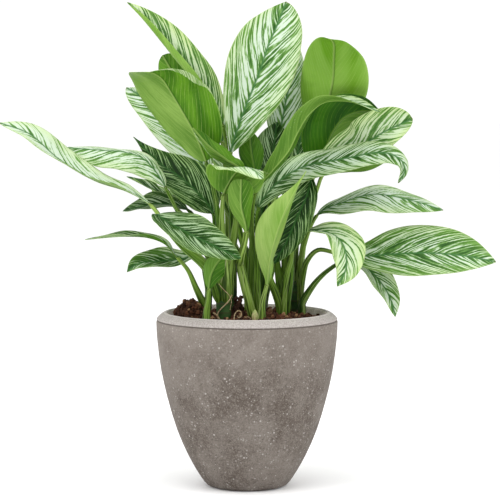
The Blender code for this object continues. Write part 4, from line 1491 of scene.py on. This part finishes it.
def root_finish():
    """A bare root: tan, streaked paler and browner."""
    made, tree, shader = new_finish("bare_root")
    grain = noise(tree, object_place(tree), scale=380.0, detail=3.0, roughness=0.6)
    colour = blended(tree, between(tree, grain, 0.35, 0.65), seen_as(150, 118, 78), seen_as(226, 204, 160))
    coated(tree, shader, colour, ranged(tree, grain, 0.6, 0.8))
    bumped(tree, shader, grain, strength=0.5, distance=0.0006)
    return made


def shoot_finish():
    """A young shoot: cream, tan and green in upright streaks, pale green at its tip."""
    made, tree, shader = new_finish("young_shoot")
    x, y, z = parts_of(tree, object_place(tree))
    place = vector(tree, scaled(tree, x, 5), scaled(tree, y, 5), z)
    grain = noise(tree, place, scale=130.0, detail=3.0, roughness=0.6)
    colour = blended(tree, between(tree, grain, 0.38, 0.62), seen_as(150, 166, 84), seen_as(222, 206, 150))
    tip = between(tree, scaled(tree, z, 1 / MM), *SHOOT_GREEN)
    colour = blended(tree, tip, colour, seen_as(170, 190, 104))
    coated(tree, shader, colour, ranged(tree, grain, 0.45, 0.65))
    bumped(tree, shader, grain, strength=0.4, distance=0.0006)
    return made


def deselect():
    """Selects nothing."""
    for other in bpy.context.selected_objects:
        other.select_set(False)


def choose(piece):
    """Selects one piece alone and makes it the one that operators act on."""
    deselect()
    piece.select_set(True)
    bpy.context.view_layer.objects.active = piece


def edit(piece):
    """Opens a piece in edit mode."""
    choose(piece)
    bpy.ops.object.mode_set(mode="EDIT")


def leave():
    """Goes back from edit mode."""
    bpy.ops.object.mode_set(mode="OBJECT")


def apply_all(piece):
    """Applies a piece's modifiers in their order."""
    choose(piece)
    for modifier in list(piece.modifiers):
        bpy.ops.object.modifier_apply(modifier=modifier.name)


def smoothed(piece, angle=SMOOTHING):
    """Shades a piece smooth but for its edges sharper than this angle in degrees."""
    choose(piece)
    bpy.ops.object.shade_smooth_by_angle(angle=math.radians(angle))


def drawn_up(name, sides, rings, centres=None):
    """A closed solid drawn up ring by ring from a filled circle, in millimetres."""
    centres = np.array(centres or [(0, 0)] * len(rings), float)
    radius, height = rings[0]
    deselect()
    bpy.ops.mesh.primitive_circle_add(
        vertices=sides,
        radius=radius * MM,
        fill_type="NGON",
        location=(centres[0][0] * MM, centres[0][1] * MM, height * MM),
    )
    piece = bpy.context.active_object
    piece.name = name
    bpy.ops.object.transform_apply(location=True, rotation=True, scale=True)
    edit(piece)
    bpy.ops.mesh.select_all(action="SELECT")
    for here in range(1, len(rings)):
        (before, low), (radius, height) = rings[here - 1], rings[here]
        step = centres[here] - centres[here - 1]
        bpy.ops.mesh.extrude_region_move(
            TRANSFORM_OT_translate={"value": (step[0] * MM, step[1] * MM, (height - low) * MM)}
        )
        bpy.ops.transform.resize(
            value=(radius / before, radius / before, 1),
            center_override=(centres[here][0] * MM, centres[here][1] * MM, height * MM),
        )
    bpy.ops.mesh.select_all(action="SELECT")
    bpy.ops.mesh.normals_make_consistent(inside=False)
    leave()
    return piece


def add_pot():
    """The concrete pot, in place of the frame's."""
    pot = drawn_up("concrete_pot", POT_SIDES, POT_RINGS)
    smoothed(pot, POT_SMOOTHING)
    pot.data.materials.append(pot_finish())
    take(pot, "pot")


def heap_rise(x, y):
    """How high the crumb heap stands at a place, in millimetres, or its foot's height off it."""
    off = ((x - HEAP_PLACE[0]) / HEAP_SIZE[0]) ** 2 + ((y - HEAP_PLACE[1]) / HEAP_SIZE[1]) ** 2
    return HEAP_PLACE[2] + HEAP_SIZE[2] * np.sqrt(np.maximum(0, 1 - off)) * (off < 1)


def soil_height(x, y):
    """The height of the soil's top at a place, in millimetres."""
    radii, heights = zip(*reversed(SOIL_TOP))
    return float(np.maximum(np.interp(np.hypot(x, y), radii, heights), heap_rise(x, y)))


def lumped(soil, lowest):
    """Roughens the soil's bed above this height with small lumps."""
    clouds = bpy.data.textures.new("soil_lumps", "CLOUDS")
    clouds.noise_scale = BED_LUMP_SIZE * MM
    clouds.noise_depth = BED_LUMP_DEPTH
    top = soil.vertex_groups.new(name="top")
    top.add([point.index for point in soil.data.vertices if point.co.z > lowest], 1.0, "REPLACE")
    finer = soil.modifiers.new("finer", "SUBSURF")
    finer.subdivision_type = "SIMPLE"
    finer.levels = finer.render_levels = 2
    lumps = soil.modifiers.new("lumps", "DISPLACE")
    lumps.texture = clouds
    lumps.texture_coords = "LOCAL"
    lumps.vertex_group = "top"
    lumps.direction = "Z"
    lumps.strength = BED_LUMP_RISE * MM
    lumps.mid_level = BED_LUMP_MIDDLE
    apply_all(soil)


def add_soil(finish):
    """The soil's crumbly bed with its heap, in place of the frame's soil."""
    soil = drawn_up("soil_bed", SOIL_SIDES, SOIL_WALL + SOIL_TOP)
    lowest = SOIL_WALL[-1][1] * MM
    for point in soil.data.vertices:
        if point.co.z > lowest:
            point.co.z = max(point.co.z, soil_height(point.co.x / MM, point.co.y / MM) * MM)
    mark(soil.data, "crumb_tone", [BED_TONE] * len(soil.data.vertices))
    lumped(soil, lowest)
    smoothed(soil)
    soil.data.materials.append(finish)
    take(soil, "soil")


def crumb_shape(seed):
    """One crumb, about 1 across: a shaken ball of 80 faces, as points and triangles."""
    deselect()
    bpy.ops.mesh.primitive_ico_sphere_add(subdivisions=2, radius=0.5, location=(0, 0, 0))
    crumb = bpy.context.active_object
    edit(crumb)
    bpy.ops.mesh.select_all(action="SELECT")
    bpy.ops.transform.vertex_random(seed=seed, **CRUMB_SHAKE)
    leave()
    mesh = crumb.data
    points = np.array([point.co for point in mesh.vertices])
    faces = np.array([list(face.vertices) for face in mesh.polygons])
    bpy.data.objects.remove(crumb)
    bpy.data.meshes.remove(mesh)
    return points, faces


def standing_places():
    """Where canes and soil-grown stalks stand in the soil: middle and radius, in millimetres."""
    places = [(*cane["foot"], cane["radius"] + CANE_CLEARANCE) for cane in CANES.values()]
    for spec in LEAVES.values():
        name, x, y = spec["root"]
        if name == "soil":
            places.append((x, y, SHEATH_RADIUS + SHEATH_CLEARANCE))
    return places


def drawn_from(chance, least, spread):
    """The value of this chance, 0 to 1, in a spread from the least on."""
    return least + spread * chance


def crumb_place(draw, number):
    """Where a crumb lies and how far up the dark lump, as a share, or None where it isn't on it:
    some are on the lump, some on the heap and the rest anywhere on the soil."""
    rise, middle, flatness = None, (0, 0), 1.0
    if number % LUMP_EVERY == LUMP_FIRST:
        rise = draw.random()
        middle = LUMP_PLACE
        away = LUMP_RADIUS * (1 - LUMP_TAPER * rise)
    elif number % HEAP_EVERY == 0:
        middle, flatness = HEAP_PLACE, HEAP_FLATNESS
        away = HEAP_SPREAD * math.sqrt(draw.random())
    else:
        away = CRUMB_REACH * math.sqrt(draw.random())
    turn = draw.random() * 2 * math.pi
    return middle[0] + away * math.cos(turn), middle[1] + away * math.sin(turn) * flatness, rise


def is_clear(x, y, size, standing):
    """Whether a crumb of this size stays clear of the canes and stalks that stand in the soil."""
    edge = size * STANDING_SHARE
    return all(math.hypot(x - at_x, y - at_y) >= radius + edge for at_x, at_y, radius in standing)


def turned(points, angles):
    """Points turned about each axis by its angle."""
    for axis, angle in enumerate(angles):
        cosine, sine = math.cos(angle), math.sin(angle)
        first, second = (axis + 1) % 3, (axis + 2) % 3
        moved = points.copy()
        moved[:, first] = cosine * points[:, first] - sine * points[:, second]
        moved[:, second] = sine * points[:, first] + cosine * points[:, second]
        points = moved
    return points


def add_crumbs(finish):
    """Crumbs strewn over the soil, thicker on the heap, each turned, sized and toned on its own."""
    draw = np.random.default_rng(CRUMB_SEED)
    shapes = [crumb_shape(seed) for seed in range(1, CRUMB_SHAPES + 1)]
    standing = standing_places()
    all_points, all_faces, tones = [], [], []
    for number in range(CRUMB_COUNT):
        x, y, rise = crumb_place(draw, number)
        on_lump = rise is not None
        size = drawn_from(draw.random() ** CRUMB_RARITY, *CRUMB_SIZE)
        depth = drawn_from(draw.random(), *CRUMB_DEPTH)
        thickness = drawn_from(draw.random(), *CRUMB_THICKNESS)
        angles = draw.random(3) * 2 * math.pi
        tone, warm = draw.random(), draw.random()
        if math.hypot(x, y) + size * WALL_SHARE > CRUMB_LIMIT:
            continue
        if not on_lump and not is_clear(x, y, size, standing):
            continue
        points, faces = shapes[number % len(shapes)]
        lift = soil_height(x, y) + size * drawn_from(draw.random(), *CRUMB_LIFT)
        if on_lump:
            tone, warm = tone * LUMP_TONE, 0.0
            lift += LUMP_RISE * rise
        all_faces.append(faces + len(points) * len(all_points))
        sized = points * (1, depth, thickness) * size
        all_points.append(turned(sized, angles) + (x, y, lift))
        tones += [(tone, warm, 0.0)] * len(points)
    mesh = bpy.data.meshes.new("soil_crumbs")
    mesh.from_pydata((np.concatenate(all_points) * MM).tolist(), [], np.concatenate(all_faces).tolist())
    mark(mesh, "crumb_tone", tones)
    mesh.materials.append(finish)
    take(linked("soil_crumbs", mesh))


def add_roots(finish):
    """Bare roots that climb a cane and curl out of the soil."""
    for number, (places, radius) in enumerate(ROOT_STRANDS):
        line = bpy.data.curves.new(f"root_strand_{number + 1}", "CURVE")
        line.dimensions = "3D"
        line.resolution_u = 4
        line.bevel_depth = radius * MM
        line.bevel_resolution = 2
        line.use_fill_caps = True
        strand = line.splines.new("BEZIER")
        strand.bezier_points.add(len(places) - 1)
        for point, place in zip(strand.bezier_points, places):
            point.co = Vector(seen(*place)) * MM
            point.handle_left_type = point.handle_right_type = "AUTO"
        choose(linked(line.name, line))
        bpy.ops.object.convert(target="MESH")
        root = bpy.context.active_object
        smoothed(root)
        root.data.materials.clear()
        root.data.materials.append(finish)
        take(root)


def add_shoot(finish):
    """A pale young shoot that just breaks the soil in front of the stalks."""
    radius = SHOOT["radius"] * MM
    place = Vector(seen(*SHOOT["place"])) * MM
    deselect()
    bpy.ops.mesh.primitive_uv_sphere_add(segments=24, ring_count=16, radius=radius, location=place)
    shoot = bpy.context.active_object
    shoot.name = shoot.data.name = "young_shoot"
    for point in shoot.data.vertices:
        slim = 1 - SHOOT["taper"] * max(0, point.co.z / radius) ** 1.5
        point.co.x *= slim
        point.co.y *= slim
        point.co.z *= SHOOT["rise"] / SHOOT["radius"]
    choose(shoot)
    bpy.ops.object.transform_apply(location=True, rotation=True, scale=True)
    smoothed(shoot)
    shoot.data.materials.append(finish)
    take(shoot)


def cane_ring(cane, left):
    """A cane's radius this far below its end, and how much of a ring scar is there."""
    from_scar = (left - SCAR_FROM_END) % SCAR_SPACING
    from_scar = min(from_scar, SCAR_SPACING - from_scar)
    swell = SCAR_RISE * math.exp(-((from_scar / SCAR_WIDTH) ** 2))
    rounding = 1 - (1 - min(1, left / CANE_END)) ** 2
    radius = (cane["radius"] - CANE_SKIN + swell) * math.sqrt(max(CANE_END_LEAST, rounding))
    return radius, math.exp(-((from_scar / SCAR_LINE) ** 2))


def add_cane(name, cane, finish):
    """A cane with ring scars, drawn up from its foot in the soil to its rounded end."""
    foot = SOIL_LEVEL - ROOT_DEPTH
    length = cane["height"] - foot
    count = int(length / CANE_STEP)
    rises = [length * step / count for step in range(count + 1)]
    heights = [foot + rise for rise in rises]
    radii, scars = zip(*(cane_ring(cane, length - rise) for rise in rises))
    centres = [tuple(cane_axis(cane, height)[:2]) for height in heights]
    piece = drawn_up(f"ringed_{name}", CANE_SIDES, list(zip(radii, heights)), centres)
    scar = np.interp([point.co.z / MM for point in piece.data.vertices], heights, scars)
    mark(piece.data, "cane_place", [(value, 0.0, 0.0) for value in scar])
    smoothed(piece)
    piece.data.materials.append(finish)
    take(piece, name)


def add_stage():
    """The plain pale floor."""
    deselect()
    bpy.ops.mesh.primitive_plane_add(size=FLOOR_SIZE, location=(0, 0, 0))
    floor = bpy.context.active_object
    floor.name = "floor"
    made, _, shader = new_finish("pale_floor")
    shader.inputs["Base Color"].default_value = FLOOR_PAINT
    shader.inputs["Roughness"].default_value = 0.9
    shader.inputs["Specular IOR Level"].default_value = 0.1
    floor.data.materials.append(made)


def aimed(holder, target):
    """Turns a lamp or camera to look at a place."""
    way = Vector(target) - holder.location
    holder.rotation_euler = way.to_track_quat("-Z", "Y").to_euler()


def add_lights():
    """The white world and the soft lamps over and beside the plant."""
    world = bpy.data.worlds.new("studio")
    bpy.context.scene.world = world
    world.use_nodes = True
    back = world.node_tree.nodes["Background"]
    back.inputs["Color"].default_value = WHITE
    back.inputs["Strength"].default_value = WORLD_LIGHT
    for name, place, size, power in LAMPS:
        lamp = bpy.data.lights.new(name, "AREA")
        lamp.size = size
        lamp.energy = power
        holder = linked(name, lamp)
        holder.location = place
        aimed(holder, LAMP_AIM)


def add_camera():
    """The camera where the viewer stands, aimed at the middle of the picture."""
    middle = PICTURE_PX / 2
    aim_height = (FOOT_PX - middle) * MM_PER_PX + AIM_RISE
    aim = Vector(((middle - AXIS_PX) * MM_PER_PX * MM, 0, aim_height * MM))
    lens = bpy.data.cameras.new("camera")
    camera = linked("camera", lens)
    camera.location = (0, -EYE_DISTANCE * MM, EYE_HEIGHT * MM)
    aimed(camera, aim)
    lens.sensor_width = SENSOR_WIDTH
    lens.lens = SENSOR_WIDTH * (aim - camera.location).length / (PICTURE_PX * MM_PER_PX * MM)
    bpy.context.scene.camera = camera


def main():
    """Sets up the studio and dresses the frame."""
    bpy.context.scene.view_settings.view_transform = "Standard"
    add_camera()
    add_lights()
    add_stage()
    add_leaves([upper_finish(), under_finish(), stalk_finish()])
    cane_look = cane_finish()
    for name, cane in CANES.items():
        add_cane(name, cane, cane_look)
    soil_look = soil_finish()
    add_soil(soil_look)
    add_crumbs(soil_look)
    add_roots(root_finish())
    add_shoot(shoot_finish())
    add_pot()


main()
